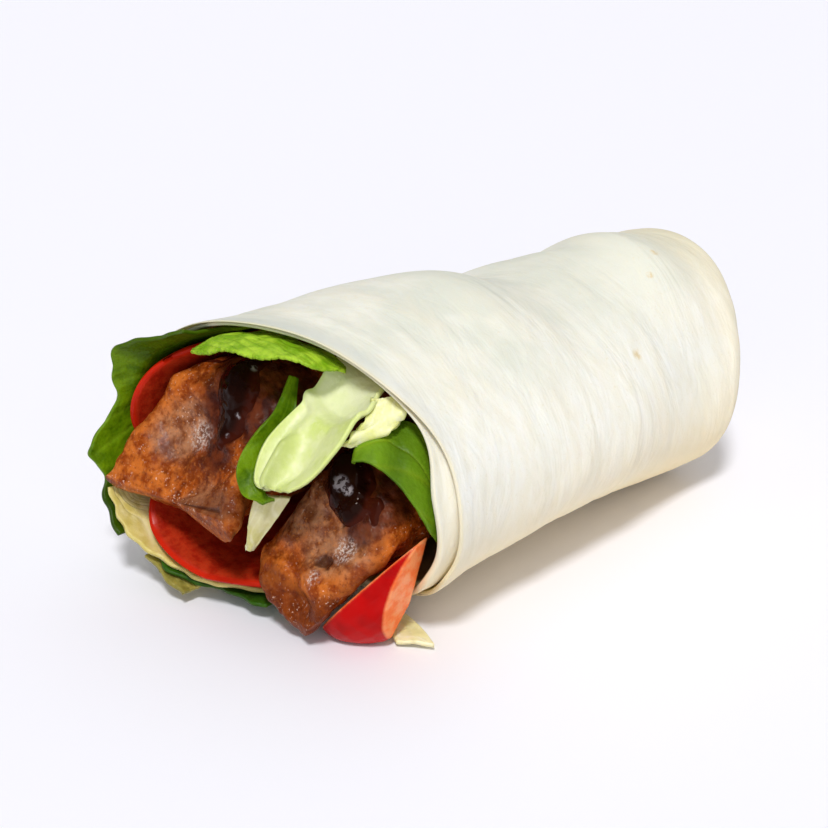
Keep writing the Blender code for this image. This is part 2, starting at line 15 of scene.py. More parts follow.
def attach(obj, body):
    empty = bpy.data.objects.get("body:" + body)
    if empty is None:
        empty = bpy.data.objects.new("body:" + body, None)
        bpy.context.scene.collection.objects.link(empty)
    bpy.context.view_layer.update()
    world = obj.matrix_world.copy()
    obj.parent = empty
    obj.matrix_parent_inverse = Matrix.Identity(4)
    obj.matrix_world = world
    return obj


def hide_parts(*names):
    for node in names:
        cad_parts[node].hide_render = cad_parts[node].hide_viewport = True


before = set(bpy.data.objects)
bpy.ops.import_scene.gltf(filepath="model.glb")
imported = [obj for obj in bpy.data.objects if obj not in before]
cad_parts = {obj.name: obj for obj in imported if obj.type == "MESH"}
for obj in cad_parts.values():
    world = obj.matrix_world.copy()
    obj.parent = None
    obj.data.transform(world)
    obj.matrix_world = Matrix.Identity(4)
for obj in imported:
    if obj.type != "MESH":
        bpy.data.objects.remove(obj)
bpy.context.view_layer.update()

# ---------- the roll's own form, as in the model

MM = 0.001
MOUTH_X = -0.066
END_X = 0.067
MOUTH_WIDTH = 0.0925
MOUTH_HEIGHT = 0.069
END_WIDTH = 0.067
END_HEIGHT = 0.056
REST_SINK = 0.001
SHEET = 0.0015
LAYER_GAP = 0.0004
WALL = 2 * SHEET + LAYER_GAP
SEAM_PHI = math.radians(-38)
SEAM_TURN = math.radians(3)
CAVITY_END_X = 0.046
MOUTH_SLANT_Y = -0.175
MOUTH_SLANT_Z = -0.085
END_SLANT_Y = 0.23
END_SLANT_Z = 0.29
END_ROUND = 0.012
LOWER_LIP_SETBACK = 0.01
INNER_LIP_REACH = 0.0036
TOP_LIP_SETBACK = 0.0022
LIP_THINNING = 0.45
THINNING_LENGTH = 0.012
LIP_CALM = 0.012
HUMPS = (
    (-0.0196, 1.7, 0.0135, 0.6, 0.0039),
    (-0.039, 1.45, 0.0145, 0.7, 0.0021),
    (0.002, 1.3, 0.01, 0.5, -0.0022),
    (0.0325, 1.15, 0.0045, 0.5, -0.0018),
    (0.0387, 1.75, 0.0112, 0.6, 0.0046),
    (0.0542, 1.84, 0.0222, 0.7, 0.002),
    (0, 3.2, 0.026, 0.6, 0.002),
    (0.0398, 2.74, 0.0198, 0.5, -0.0026),
    (-0.015, -2.15, 0.034, 0.55, -0.0034),
    (0.0478, -2.56, 0.0245, 0.55, 0.0022),
)
UNDERSIDE = -math.pi / 2
UNDERSIDE_FADE = (0.14, 0.5)


def ease(value, low, high):
    """0 below low, 1 above high, and a smooth change between them."""
    share = np.clip((value - low) / (high - low), 0, 1)
    return share * share * (3 - 2 * share)


def bump(value, middle, reach):
    """A bell of height 1 round middle."""
    return np.exp(-(((value - middle) / reach) ** 2))


def turn_between(phi, middle):
    """The angle from middle to phi, the short way round."""
    return (phi - middle + math.pi) % (2 * math.pi) - math.pi


def between(phi, low, high):
    """0 below an angle of low degrees, 1 above high, and a smooth change between them."""
    return ease(phi, math.radians(low), math.radians(high))


def half_sizes(x):
    """Half the width and half the height of the roll at x."""
    along = (x - MOUTH_X) / (END_X - MOUTH_X)
    width = MOUTH_WIDTH + (END_WIDTH - MOUTH_WIDTH) * along
    height = MOUTH_HEIGHT + (END_HEIGHT - MOUTH_HEIGHT) * along
    return width / 2, height / 2


def section_point(x, phi, inset, floor=0):
    """The point at x and phi, inset from the roll's outside, and no lower than floor."""
    half_width, half_height = half_sizes(x)
    y = (half_width - inset) * np.cos(phi)
    z = half_height - REST_SINK + (half_height - inset) * np.sin(phi)
    return np.stack([x + 0 * y, y, np.maximum(z, floor)], axis=-1)


def humps(x, phi):
    height = 0 * phi
    for at_x, at_phi, length, turn, tall in HUMPS:
        height = height + tall * bump(x, at_x, length) * bump(turn_between(phi, at_phi), 0, turn)
    return height * ease(np.abs(turn_between(phi, UNDERSIDE)), *UNDERSIDE_FADE)


def seam_step(phi):
    turned = turn_between(phi, SEAM_PHI + math.pi) + math.pi
    return SHEET * (1 - turned / (2 * math.pi)) * ease(turned, 0, SEAM_TURN)


def lip_x(phi):
    """Where the outer layer of bread ends at the mouth."""
    half_width, half_height = half_sizes(MOUTH_X)
    across = half_width * np.cos(phi)
    up = half_height * np.sin(phi)
    low = ease(-np.sin(phi), 0.45, 1)
    waves = 0.0007 * np.sin(3 * phi + 0.6) + 0.0005 * np.sin(7 * phi + 2)
    return MOUTH_X + MOUTH_SLANT_Y * across + MOUTH_SLANT_Z * up + LOWER_LIP_SETBACK * low + waves


def over_top(phi):
    """1 where the lip passes over the filling, 0 at the sides and below."""
    return ease(np.sin(phi), 0.15, 0.65)


def thinning(x, phi):
    """What is left of the layers' thickness as they thin out towards the lip over the filling."""
    near_lip = ease(lip_x(phi) + THINNING_LENGTH - x, 0, THINNING_LENGTH)
    return 1 - LIP_THINNING * near_lip * over_top(phi)


def layer_inset(x, phi, inset):
    """An inset inside the layers, less what they thin by, and deeper where the outside is dented."""
    step = seam_step(phi)
    lip = lip_x(phi)
    dent = np.maximum(0, -humps(x, phi)) * ease(x, lip, lip + LIP_CALM)
    return step + (inset - step) * thinning(x, phi) + dent


def inner_lip_reach(phi):
    near = bump(turn_between(phi, 3.45), 0, 1.05)
    return 0.0008 + INNER_LIP_REACH * near + 0.0006 * np.sin(5 * phi) - TOP_LIP_SETBACK * over_top(phi)


def inner_lip_dip(phi):
    return 0.0024 * bump(turn_between(phi, 2.75), 0, 0.75)


def end_x(phi):
    half_width, half_height = half_sizes(END_X)
    return END_X + END_SLANT_Y * half_width * np.cos(phi) + END_SLANT_Z * half_height * np.sin(phi)


def lining_point(x, phi, depth):
    """A point at depth in from the bread's inner face, also past the mouth."""
    inset = layer_inset(x, phi, WALL) + depth
    return section_point(x, phi, inset, inset)


# ---------- noise, seeded and worked out in bulk

NOISE_CELLS = 64
NOISE_TABLE = np.random.default_rng(7).uniform(-1, 1, (NOISE_CELLS,) * 3)
CELL_POINTS = np.random.default_rng(11).uniform(0, 1, (NOISE_CELLS,) * 3 + (4,))


def lumps(points, size, offset=0):
    """Smooth noise, -1 to 1, with lumps of that size."""
    at = points / size + offset
    base = np.floor(at).astype(int)
    share = at - base
    share = share * share * (3 - 2 * share)
    total = 0
    for corner in np.ndindex(2, 2, 2):
        pick = np.array(corner)
        weight = np.prod(np.where(pick == 1, share, 1 - share), axis=-1)
        index = (base + pick) % NOISE_CELLS
        total = total + weight * NOISE_TABLE[index[..., 0], index[..., 1], index[..., 2]]
    return total


def grains(points, size, offset=0):
    """Distance to the nearest scattered grain as a share of size, and that grain's own number, 0 to 1."""
    at = points / size + offset
    base = np.floor(at).astype(int)
    nearest = np.full(at.shape[:-1], 9.0)
    number = np.zeros(at.shape[:-1])
    for corner in np.ndindex(3, 3, 3):
        cell = base + np.array(corner) - 1
        index = cell % NOISE_CELLS
        own = CELL_POINTS[index[..., 0], index[..., 1], index[..., 2]]
        away = np.linalg.norm(cell + own[..., :3] - at, axis=-1)
        number = np.where(away < nearest, own[..., 3], number)
        nearest = np.minimum(nearest, away)
    return nearest, number


# ---------- meshes

POLE_AHEAD = np.array([0.002, 0, 0])


def add_object(name, data):
    made = bpy.data.objects.new(name, data)
    bpy.context.scene.collection.objects.link(made)
    return made


def add_shade(mesh, key, values):
    """A float for each point of the mesh, for its material."""
    layer = mesh.attributes.new(key, "FLOAT", "POINT")
    layer.data.foreach_set("value", np.ascontiguousarray(values, np.float32).ravel())


def unit(vectors, least=1e-9):
    return vectors / np.maximum(np.linalg.norm(vectors, axis=-1, keepdims=True), least)


def unit_grid(steps):
    return np.meshgrid(np.linspace(0, 1, steps[0]), np.linspace(0, 1, steps[1]), indexing="ij")


def eased_rows(rows, share):
    """Rows at each share, 0 to 1, of a smooth curve through the rows (Catmull-Rom)."""
    rows = np.array(rows)
    at = np.clip(np.asarray(share, float), 0, 1) * (len(rows) - 1)
    k = np.minimum(at.astype(int), len(rows) - 2)
    t = (at - k)[..., None]
    here, there = rows[k], rows[k + 1]
    before, after = rows[np.maximum(k - 1, 0)], rows[np.minimum(k + 2, len(rows) - 1)]
    return 0.5 * (
        2 * here
        + (there - before) * t
        + (2 * before - 5 * here + 4 * there - after) * t**2
        + (3 * here - before - 3 * there + after) * t**3
    )


def grid_normals(grid, wrap=False):
    """Unit normals of a grid of points; the second way wraps round if asked."""
    down = np.gradient(grid, axis=0)
    if wrap:
        across = np.roll(grid, -1, axis=1) - np.roll(grid, 1, axis=1)
    else:
        across = np.gradient(grid, axis=1)
    return unit(np.cross(across, down), 1e-12)


def make_piece(name, points, faces, look, replaced, shades):
    """A mesh object with float attributes for its material, riding on the model."""
    mesh = bpy.data.meshes.new(f"{name}_detail")
    mesh.from_pydata([tuple(point) for point in points], [], [tuple(face) for face in faces])
    mesh.shade_smooth()
    for key, values in shades.items():
        add_shade(mesh, key, values)
    mesh.materials.append(look)
    piece = add_object(f"{name}_detail", mesh)
    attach(piece, "root")
    if replaced:
        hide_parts(*replaced)


def ring_quads(count, around):
    """The numbers of ring points, of those that follow them round each ring, and the faces between."""
    index = np.arange(count * around).reshape(count, around)
    following = np.roll(index, -1, axis=1)
    quads = np.stack([index[:-1], following[:-1], following[1:], index[1:]], axis=-1)
    return index, following, quads[..., ::-1].reshape(-1, 4)


def ringed_piece(name, rings, first_pole, last_pole, look, replaced, shades):
    """A closed piece from rings of points and a pole at each end, with shades for each ring point."""
    count, around = rings.shape[:2]
    points = np.concatenate([rings.reshape(-1, 3), [first_pole, last_pole]])
    index, following, quads = ring_quads(count, around)
    first, last = count * around, count * around + 1
    caps = [(first, index[0, k], following[0, k]) for k in range(around)]
    caps += [(last, following[-1, k], index[-1, k]) for k in range(around)]
    full = {}
    for key, values in shades.items():
        values = np.broadcast_to(values, (count, around))
        full[key] = np.concatenate([values.ravel(), [values[0].mean(), values[-1].mean()]])
    make_piece(name, points, [*quads, *caps], look, replaced, full)


def sheet_piece(name, grid, thickness, look, shades):
    """A closed thin piece from a grid of middle points; thickness is one value or one for each point."""
    normal = grid_normals(grid)
    half = np.broadcast_to(np.asarray(thickness) / 2, grid.shape[:2])[..., None]
    count, around = grid.shape[:2]
    points = np.concatenate([(grid + normal * half).reshape(-1, 3), (grid - normal * half).reshape(-1, 3)])
    front = np.arange(count * around).reshape(count, around)
    back = front + count * around
    sides = [np.stack([front[:-1, :-1], front[:-1, 1:], front[1:, 1:], front[1:, :-1]], axis=-1)]
    sides.append(np.stack([back[:-1, :-1], back[1:, :-1], back[1:, 1:], back[:-1, 1:]], axis=-1))
    for line, under in ((front[0], back[0]), (front[:, -1], back[:, -1]),
                        (front[-1][::-1], back[-1][::-1]), (front[::-1, 0], back[::-1, 0])):
        sides.append(np.stack([line[1:], line[:-1], under[:-1], under[1:]], axis=-1))
    quads = np.concatenate([side.reshape(-1, 4) for side in sides])
    full = {}
    for key, values in shades.items():
        values = np.broadcast_to(values, (count, around))
        full[key] = np.concatenate([values.ravel(), values.ravel()])
    full["under"] = np.concatenate([np.zeros(count * around), np.ones(count * around)])
    make_piece(name, points, quads, look, [name], full)


# ---------- materials


class Look:
    """A Principled material and short calls for the nodes that feed it."""

    def __init__(self, name, specular=0.5, glow=None, **fixed):
        """Glow is how much light goes through, how far, and how red, green and blue share in it."""
        fixed["Specular_IOR_Level"] = specular
        self.material = bpy.data.materials.new(name)
        self.material.use_nodes = True
        self.tree = self.material.node_tree
        self.shader = self.tree.nodes["Principled BSDF"]
        if glow:
            fixed |= dict(zip(("Subsurface_Weight", "Subsurface_Scale", "Subsurface_Radius"), glow))
        for key, value in fixed.items():
            self.shader.inputs[key.replace("_", " ")].default_value = value
        self.place = self.node("TexCoord").outputs["Object"]

    def node(self, kind, inputs=(), **settings):
        made = self.tree.nodes.new("ShaderNode" + kind)
        for key, value in settings.items():
            setattr(made, key, value)
        for key, value in dict(inputs).items():
            if isinstance(value, bpy.types.NodeSocket):
                self.tree.links.new(value, made.inputs[key])
            else:
                made.inputs[key].default_value = value
        return made

    def stretched(self, scale):
        """The position with each axis scaled, for noise that is drawn out."""
        return self.node("Mapping", {"Vector": self.place, "Scale": scale}).outputs[0]

    def noise(self, size, detail=3, rough=0.55, where=None, distortion=0):
        """Noise, about 0.3 to 0.7, with lumps of that size in metres."""
        return self.node(
            "TexNoise",
            {"Vector": where or self.place, "Scale": 1 / size, "Detail": detail, "Roughness": rough,
             "Distortion": distortion},
        ).outputs["Fac"]

    def shade(self, name):
        """A float attribute of the mesh."""
        return self.node("Attribute", attribute_name=name).outputs["Fac"]

    def span(self, value, low, high, to_low=0, to_high=1):
        """Value from low to high becomes to_low to to_high, smoothly, and is held beyond them."""
        return self.node(
            "MapRange",
            {"Value": value, "From Min": low, "From Max": high, "To Min": to_low, "To Max": to_high},
            interpolation_type="SMOOTHSTEP",
        ).outputs["Result"]

    def times(self, first, second, what="MULTIPLY"):
        return self.node("Math", {0: first, 1: second}, operation=what).outputs[0]

    def near(self, spot):
        """1 within a spot of x, y, z, radius and fade in millimetres, and 0 beyond its fade."""
        *point, radius, fade = [value * MM for value in spot]
        inputs = {0: self.place, 1: point}
        away = self.node("VectorMath", inputs, operation="DISTANCE").outputs["Value"]
        return self.span(away, radius, radius + fade, 1, 0)

    def mix(self, share, first, second):
        made = self.node("Mix", {"Factor": share}, data_type="RGBA")
        for socket, value in ((made.inputs[6], first), (made.inputs[7], second)):
            if isinstance(value, bpy.types.NodeSocket):
                self.tree.links.new(value, socket)
            else:
                socket.default_value = (*(srgb(value) if isinstance(value, str) else value), 1)
        return made.outputs[2]

    def paint(self, share, colour):
        """Lay a share of colour over the colour so far."""
        self.colour = self.mix(share, self.colour, colour)

    def paint_shade(self, name, share, colour):
        """Lay a share of colour over the colour so far where that shade is 1."""
        self.paint(self.times(self.shade(name), share), colour)

    def bumps(self, *layers, socket="Normal"):
        """Bumps over one another, each a height of 0 to 1 and the distance that it stands for."""
        below = {}
        for height, distance in layers:
            normal = self.node("Bump", {"Height": height, "Distance": distance, **below}).outputs["Normal"]
            below = {"Normal": normal}
        self.put(socket, normal)

    def put(self, socket, value):
        self.tree.links.new(value, self.shader.inputs[socket])

    def done(self):
        """The material, with the colour so far."""
        self.put("Base Color", self.colour)
        return self.material


def srgb(code, share=1):
    """A screen colour given as six hexadecimal digits, with that share of its light."""
    values = (int(code[k : k + 2], 16) / 255 for k in (0, 2, 4))
    return tuple(share * (c / 12.92 if c < 0.04 else ((c + 0.055) / 1.055) ** 2.4) for c in values)


# Faint toasted spots on the bread: x, y, z, radius, and how far each fades out
TOAST_SPOTS = (
    (40.6, -13.6, 60, 0.3, 1.3),
    (33.8, -18, 57, 0.3, 1.1),
    (13.3, -31.5, 46.1, 0.4, 1.6),
)


def bread_look():
    """Soft pale bread: grey-green where filling shows through on top, with painted shade over the top and on
    its inner faces, warmer low down and at the end.
    """
    look = Look("bread", 0.2, (0.25, 0.004, (1, 0.8, 0.55)), Roughness=0.66)
    round_roll = look.stretched((1, 0.38, 0.38))
    streaks = look.noise(0.0034, 3, 0.55, round_roll, 0.6)
    folds = look.noise(0.011, 3, 0.5, round_roll, 0.8)
    patches = look.noise(0.02)
    flour = look.noise(0.0008, 3, 0.6)
    look.colour = look.mix(look.span(streaks, 0.32, 0.68), "eeeadb", "f3f1e7")
    place = look.node("SeparateXYZ", {0: look.place})
    high = look.span(place.outputs[2], 0.044, 0.062)
    through = look.times(look.span(patches, 0.36, 0.62), look.span(high, 0, 1, 0.12, 0.85))
    look.paint(through, "d6d9cc")  # the filling
    # Painted shade: the top of the roll darkened, more towards its end.
    crown = look.span(place.outputs[0], -0.015, 0.03, 0.4, 0.85)
    look.paint(look.times(high, crown), "ddddce")
    look.paint(look.times(look.span(folds, 0.52, 0.7), 0.3), "ece4ce")
    low = look.times(look.span(place.outputs[2], 0.042, 0.003), 0.85)
    look.paint(low, "f0daa6")
    far = look.times(look.span(place.outputs[0], 0.035, 0.068), 0.5)
    look.paint(far, "ead8aa")
    look.paint(look.span(flour, 0.6, 0.72, 0, 0.35), "e2d8ba")
    look.paint_shade("edge", 0.55, "dccca0")
    # Painted shade: darker tan on the bread's inner faces and between its layers, inside the roll.
    look.paint_shade("inside", 0.8, "ceb874")
    ragged = look.span(look.noise(0.001), 0.38, 0.6, 0.1, 0.7)
    for spot in TOAST_SPOTS:
        look.paint(look.times(look.near(spot), ragged), "d8be84")
    look.bumps((streaks, 0.00014), (flour, 0.00005), (folds, 0.001))
    return look.done()


# Where light glints off wet kofte and off molasses: x, y, z, radius, and how far each fades out
WET_GLINTS = (
    (-72, -22.8, 22.9, 1.2, 2.8),
    (-76.2, 19, 37.8, 1, 4),
    (-77.6, -18.7, 17, 0.4, 2.2),
)
MOLASSES_GLINTS = (
    (-68.3, -17.6, 36.2, 1, 1.3),
    (-67.8, -19.6, 35, 0.6, 1),
    (-74.6, 8.1, 45.8, 0.2, 0.8),
    (-76.5, 9.5, 41.2, 0.1, 0.7),
    (-68.4, 9.4, 54.9, 0.2, 1),
)


def kofte_look():
    """Oily orange-brown bulgur paste: painted shade in hollows and pits, a greyish painted sheen and glints
    where moist, near black where stained.
    """
    look = Look("kofte", 0.09, (0.06, 0.002, (1, 0.35, 0.12)), Coat_Roughness=0.06)
    broad = look.noise(0.0075)
    lump = look.noise(0.003, 3, 0.5)
    fine = look.noise(0.0012, 3, 0.5)
    look.colour = look.mix(look.span(lump, 0.38, 0.62), "702c05", "a44c0e")
    look.paint(look.span(broad, 0.47, 0.62, 0, 0.5), "5c2208")
    ridge = look.mix(look.span(lump, 0.36, 0.6), "923e0a", "c86c26")
    look.paint_shade("ridge", 0.8, ridge)
    # Where the paste is moist: a greyish painted sheen here, and a real glossy coat further down.
    grey = look.mix(look.span(lump, 0.38, 0.62), "744022", "aa7a58")
    look.paint_shade("moist_sheen", 0.75, grey)
    look.paint(look.span(fine, 0.58, 0.7, 0, 0.3), "c8763a")
    look.paint(look.span(fine, 0.42, 0.3, 0, 0.22), "541e08")
    grainy = look.noise(0.0009, 4, 0.66)
    look.paint(look.span(grainy, 0.54, 0.68, 0, 0.45), "d07e3e")
    look.paint(look.span(grainy, 0.46, 0.33, 0, 0.5), "541c05")
    # Painted shade in the low places of the relief.
    look.paint(look.span(look.shade("high"), 0.26, 0.02, 0, 0.3), "4c1a06")
    look.paint_shade("shadow", 0.6, "582004")
    stain = look.mix(look.span(lump, 0.4, 0.62), "360e05", "5c2610")
    look.paint_shade("stain", 0.92, stain)
    # Painted shade in the pits.
    look.paint_shade("pit", 0.8, "320e0a")
    # Pale flecks: partly bits of fat in the paste, partly painted glints.
    fleck_and_glint = look.times(look.span(look.noise(0.0007, 2), 0.62, 0.7), look.span(broad, 0.4, 0.52, 1, 0.1))
    fleck_and_glint = look.times(fleck_and_glint, look.span(look.shade("stain"), 0, 1, 0.55, 0))
    look.paint(fleck_and_glint, "f0ceba")
    speck = look.noise(0.0007, 4, 0.68)
    for spot in WET_GLINTS:
        glint = look.times(look.near(spot), look.span(speck, 0.46, 0.6, 0.05, 0.75))
        look.paint(glint, "deccc2")
    look.put("Roughness", look.span(lump, 0.35, 0.65, 0.26, 0.48))
    moist_sheen = look.span(look.shade("moist_sheen"), 0, 1, 0.1, 0.5)
    wet = look.times(moist_sheen, look.span(look.shade("stain"), 0, 1, 0, 0.15), "ADD")
    look.put("Coat Weight", look.times(wet, look.span(look.noise(0.0034, 2), 0.4, 0.6)))
    look.bumps((grainy, 0.00022), (lump, 0.0005))
    look.bumps((look.noise(0.0011, 3, 0.6), 0.0004), socket="Coat Normal")
    return look.done()


def molasses_look():
    look = Look("molasses", 0.06, Roughness=0.07, Specular_Tint=(1, 0.88, 0.8, 1))
    look.colour = look.mix(look.shade("thick"), "3a1208", "1c0804")
    streak = look.span(look.noise(0.0011, 2), 0.44, 0.54, 0.05, 0.85)
    for spot in MOLASSES_GLINTS:
        look.paint(look.times(look.near(spot), streak), "968e92")
    look.bumps((look.noise(0.0036, 1), 0.0011))
    return look.done()


def tomato_look(name, skin, flesh, pale):
    """Tomato whose skin shows where the skin shade is 1, and cut flesh elsewhere."""
    look = Look(name, 0.08, (0.15, 0.003, (1, 0.2, 0.08)), Coat_Roughness=0.1)
    mottle = look.noise(0.003, 4, 0.6)
    fibres = look.noise(0.001, 3, 0.6)
    cut = look.mix(look.span(mottle, 0.36, 0.62), flesh, pale)
    skin_colour = look.mix(look.span(look.noise(0.009, 2), 0.4, 0.65), skin, srgb(skin, 0.72))
    look.colour = look.mix(look.shade("skin"), cut, skin_colour)
    look.put("Roughness", look.span(look.shade("skin"), 0, 1, 0.4, 0.26))
    wet_cut = look.span(mottle, 0.45, 0.6, 0.05, 0.4)
    look.put("Coat Weight", look.times(wet_cut, look.span(look.shade("skin"), 0, 1, 1, 0.15)))
    look.bumps((look.times(fibres, look.span(look.shade("skin"), 0, 1, 1, 0.06)), 0.00018))
    return look.done()


def leaf_look(name, dark, light, vein, under, grain=0.006):
    """A leaf: light along its veins, paler below, uneven between them, and with painted shade where its fold
    shade is set.
    """
    look = Look(name, 0.13, (0.12, 0.0012, (0.5, 1, 0.1)), Roughness=0.38)
    look.colour = look.mix(look.span(look.noise(grain), 0.36, 0.64), dark, light)
    look.paint(look.times(look.span(look.noise(0.0012), 0.4, 0.65), 0.3), light)
    look.paint_shade("under", 0.6, under)
    look.paint_shade("vein", 0.5, vein)
    # Painted shade, a darker green, in folds and on shaded ends.
    look.paint_shade("fold", 0.9, srgb(dark, 0.42))
    look.bumps((look.noise(0.0008, 3, 0.6), 0.00012), (look.noise(0.003, 2), 0.0005))
    return look.done()


def lettuce_look(name, pale, green, rib):
    """Lettuce: pale, with a darker green painted as shade in its folds, whitish along its ribs and thick rims
    and where a form paints light, and greener at its edges.
    """
    look = Look(name, 0.25, (0.3, 0.003, (1, 1, 0.4)), Roughness=0.34)
    look.colour = look.mix(look.span(look.noise(0.008), 0.4, 0.62), pale, green)
    look.paint(look.span(look.noise(0.0018, 3, 0.6), 0.5, 0.7, 0, 0.3), rib)
    # Whitish along ribs and rims; this also carries the light painted on a curl's raised parts.
    look.paint_shade("vein", 0.7, rib)
    # Painted shade in folds and creases.
    look.paint_shade("fold", 0.8, srgb(green, 0.66))
    look.paint_shade("edge", 0.6, green)
    look.bumps((look.noise(0.0014, 3, 0.6), 0.00016), (look.noise(0.0045, 2), 0.0006))
    return look.done()


LOOKS = {"bread": bread_look(), "kofte": kofte_look(), "molasses": molasses_look()}
for make_look, own_name, *colours in (
    # Painted shade: the slices' cut flesh is much darker than the wedge's, for slices lying inside the roll.
    (tomato_look, "tomato_slice", "be220a", "961c0a", "b23216"),
    (tomato_look, "tomato_wedge", "bc0100", "f6763a", "fa985e"),
    (leaf_look, "green_leaf", "406000", "688806", "82a41e", "70901e"),
    (leaf_look, "bright_leaf", "427002", "68960a", "8ca41e", "6e8c1e"),
    (leaf_look, "dark_leaf", "163406", "2c540a", "466e1e", "3c5a14"),
    (leaf_look, "mint", "76a212", "acce36", "669016", "96b432", 0.0035),
    (lettuce_look, "lettuce", "e6ecae", "d2e084", "f2f4ce"),
    (lettuce_look, "frill", "ececac", "dade7a", "f6f6cc"),
    (lettuce_look, "dull_lettuce", "d0ca9c", "c4be7c", "dedab4"),
    (lettuce_look, "lettuce_sheet", "dece8c", "c6b460", "ece2b4"),
    (lettuce_look, "lettuce_scrap", "a6984a", "78702c", "beb064"),
    (lettuce_look, "lettuce_strip", "f4eec0", "e8dea0", "f8f4d6"),
):
    LOOKS[own_name] = make_look(own_name, *colours)

# ---------- bread

BREAD_AROUND = 300
WRINKLE_LENGTH = 0.0075
WRINKLE_HEIGHT = 0.00045
FLAP = 0.0009
END_FULLNESS = 0.61
INNER_REACH = 0.95
ROUNDED = 0.0005


def wrinkles(points):
    """Soft folds that run round the roll with a slight slant, stronger in some places than in others."""
    slanted = points * np.array([1, 0.2, 0.2])
    slanted[..., 0] += 0.1 * points[..., 2]
    folds = lumps(slanted, WRINKLE_LENGTH * 0.8) + 0.35 * lumps(slanted, WRINKLE_LENGTH * 0.35, 9.0)
    patchy = 0.25 + 0.75 * ease(lumps(points, 0.022, 2), -0.15, 0.25)
    broad = lumps(points * np.array([1, 0.6, 0.6]), 0.016, 4)
    return WRINKLE_HEIGHT * folds * patchy + 0.0006 * broad


def tuck(y, z):
    """How far under the flaps of the tucked end a place on it lies, and 1 along the flaps' edges."""
    lower = z - 0.0085 + 0.46 * np.abs(y - 0.002) + 0.0004 * np.sin(500 * y)
    side = np.abs(y - 0.001) - 0.011 - 0.3 * np.maximum(z, 0) + 0.0004 * np.sin(400 * z)
    above = ease(lower, -0.0006, 0.0006)
    under = above * (1 + ease(-side, -0.0006, 0.0006))
    line = np.maximum(bump(lower, 0.0004, 0.0012), above * bump(side, 0, 0.0012))
    return under, line


def bread():
    phi = np.arange(BREAD_AROUND) * 2 * math.pi / BREAD_AROUND
    lip = lip_x(phi)
    step = seam_step(phi)
    shoulder = end_x(phi) - END_ROUND
    rings, shares = [], []

    def layer_point(x, inset):
        inset = layer_inset(x, phi, inset)
        return section_point(x, phi, inset, inset)

    def add(ring, edge=0, inside=0, outside=1):
        rings.append(ring)
        shares.append([value + 0 * phi for value in (edge, inside, outside)])

    end_rings, side_rings, inner_rings = 60, 176, 24
    for k in range(end_rings, 0, -1):
        share = k / (end_rings + 0.4)
        angle = share * math.pi / 2
        radius = math.cos(angle) ** END_FULLNESS
        pleat = 0.0008 * (1 + np.cos(5 * phi + 4 * share)) * bump(share, 0.55, 0.25)
        fold = 0.004 * ease(share, 0.35, 0.85) + pleat
        x = shoulder + END_ROUND * math.sin(angle) - fold
        x = x + (END_X - end_x(phi)) * share**4
        ring = section_point(x, phi, step * (1 - share) - humps(x, phi) * (1 - share))
        middle = END_HEIGHT / 2
        ring[:, 1] *= radius
        ring[:, 2] = middle + (ring[:, 2] - middle) * radius
        under, line = tuck(ring[:, 1], ring[:, 2] - middle)
        ring[:, 0] -= FLAP * under * ease(share, 0.25, 0.45)
        add(ring, edge=0.8 * line * ease(share, 0.25, 0.45))
    for k in range(side_rings + 1):
        x = shoulder + (lip - shoulder) * k / side_rings
        proud = humps(x, phi) * ease(x, lip, lip + LIP_CALM)
        add(section_point(x, phi, step - proud), edge=float(ease(k, side_rings - 1.2, side_rings)) * 0.5)
    reach, dip = inner_lip_reach(phi), inner_lip_dip(phi)
    inner_top = SHEET + LAYER_GAP
    under = 0.92 * SHEET + 0.3 * step
    for k in range(1, 7):  # the outer layer's rounded edge
        angle = k / 7 * math.pi
        share = (1 - math.cos(angle)) / 2
        inset = step + (layer_inset(lip, phi, under) - step) * share
        add(section_point(lip - ROUNDED * math.sin(angle), phi, inset, share * under), edge=1)
    for ahead in (0, -0.002, -0.004):
        add(layer_point(lip - ahead, under), edge=0.3, inside=1)
    for share in np.linspace(0, 1, 12):
        ahead = -0.004 + (0.004 + INNER_REACH * reach) * share
        inset = inner_top + dip * ease(share, 0.2, 0.9)
        add(layer_point(lip - ahead, inset), edge=0.15 * share, inside=0.25 * (1 - share), outside=0.5)
    for k in range(1, 8):  # the inner layer's rounded edge
        angle = k / 8 * math.pi
        inset = inner_top + dip + (WALL - inner_top) * (1 - math.cos(angle)) / 2
        add(layer_point(lip - INNER_REACH * reach - ROUNDED * math.sin(angle), inset), edge=0.7)
    for k in range(inner_rings + 1):
        start = lip - 0.9 * reach
        x = start + (CAVITY_END_X - start) * (k / inner_rings) ** 1.5
        add(layer_point(x, WALL + dip * (1 - ease(x, start, start + 0.01))), inside=1, outside=0.3)
    rings = np.array(rings)
    edge, inside, outside = np.array(shares).swapaxes(0, 1)
    outward = unit((rings - np.array([0, 0, MOUTH_HEIGHT / 2])) * np.array([0, 1, 1]))
    normal = grid_normals(rings, wrap=True)
    normal *= np.sign((normal[end_rings] * outward[end_rings]).sum(-1).mean())
    way = np.where(np.arange(len(rings))[:, None, None] < end_rings, normal, outward)
    calm = 0.15 + 0.85 * ease(rings[..., 0] - lip, 0, LIP_CALM)
    share = outside * ease(rings[..., 2], 0.0005, 0.006) * calm
    rings = rings + way * (wrinkles(rings) * share)[..., None]
    rings[..., 2] = np.maximum(rings[..., 2], 0)
    ringed_piece("bread", rings, rings[0].mean(0), rings[-1].mean(0) + POLE_AHEAD,
                 LOOKS["bread"], ["flatbread"], {"edge": edge, "inside": inside})


bread()

# ---------- kofte and molasses

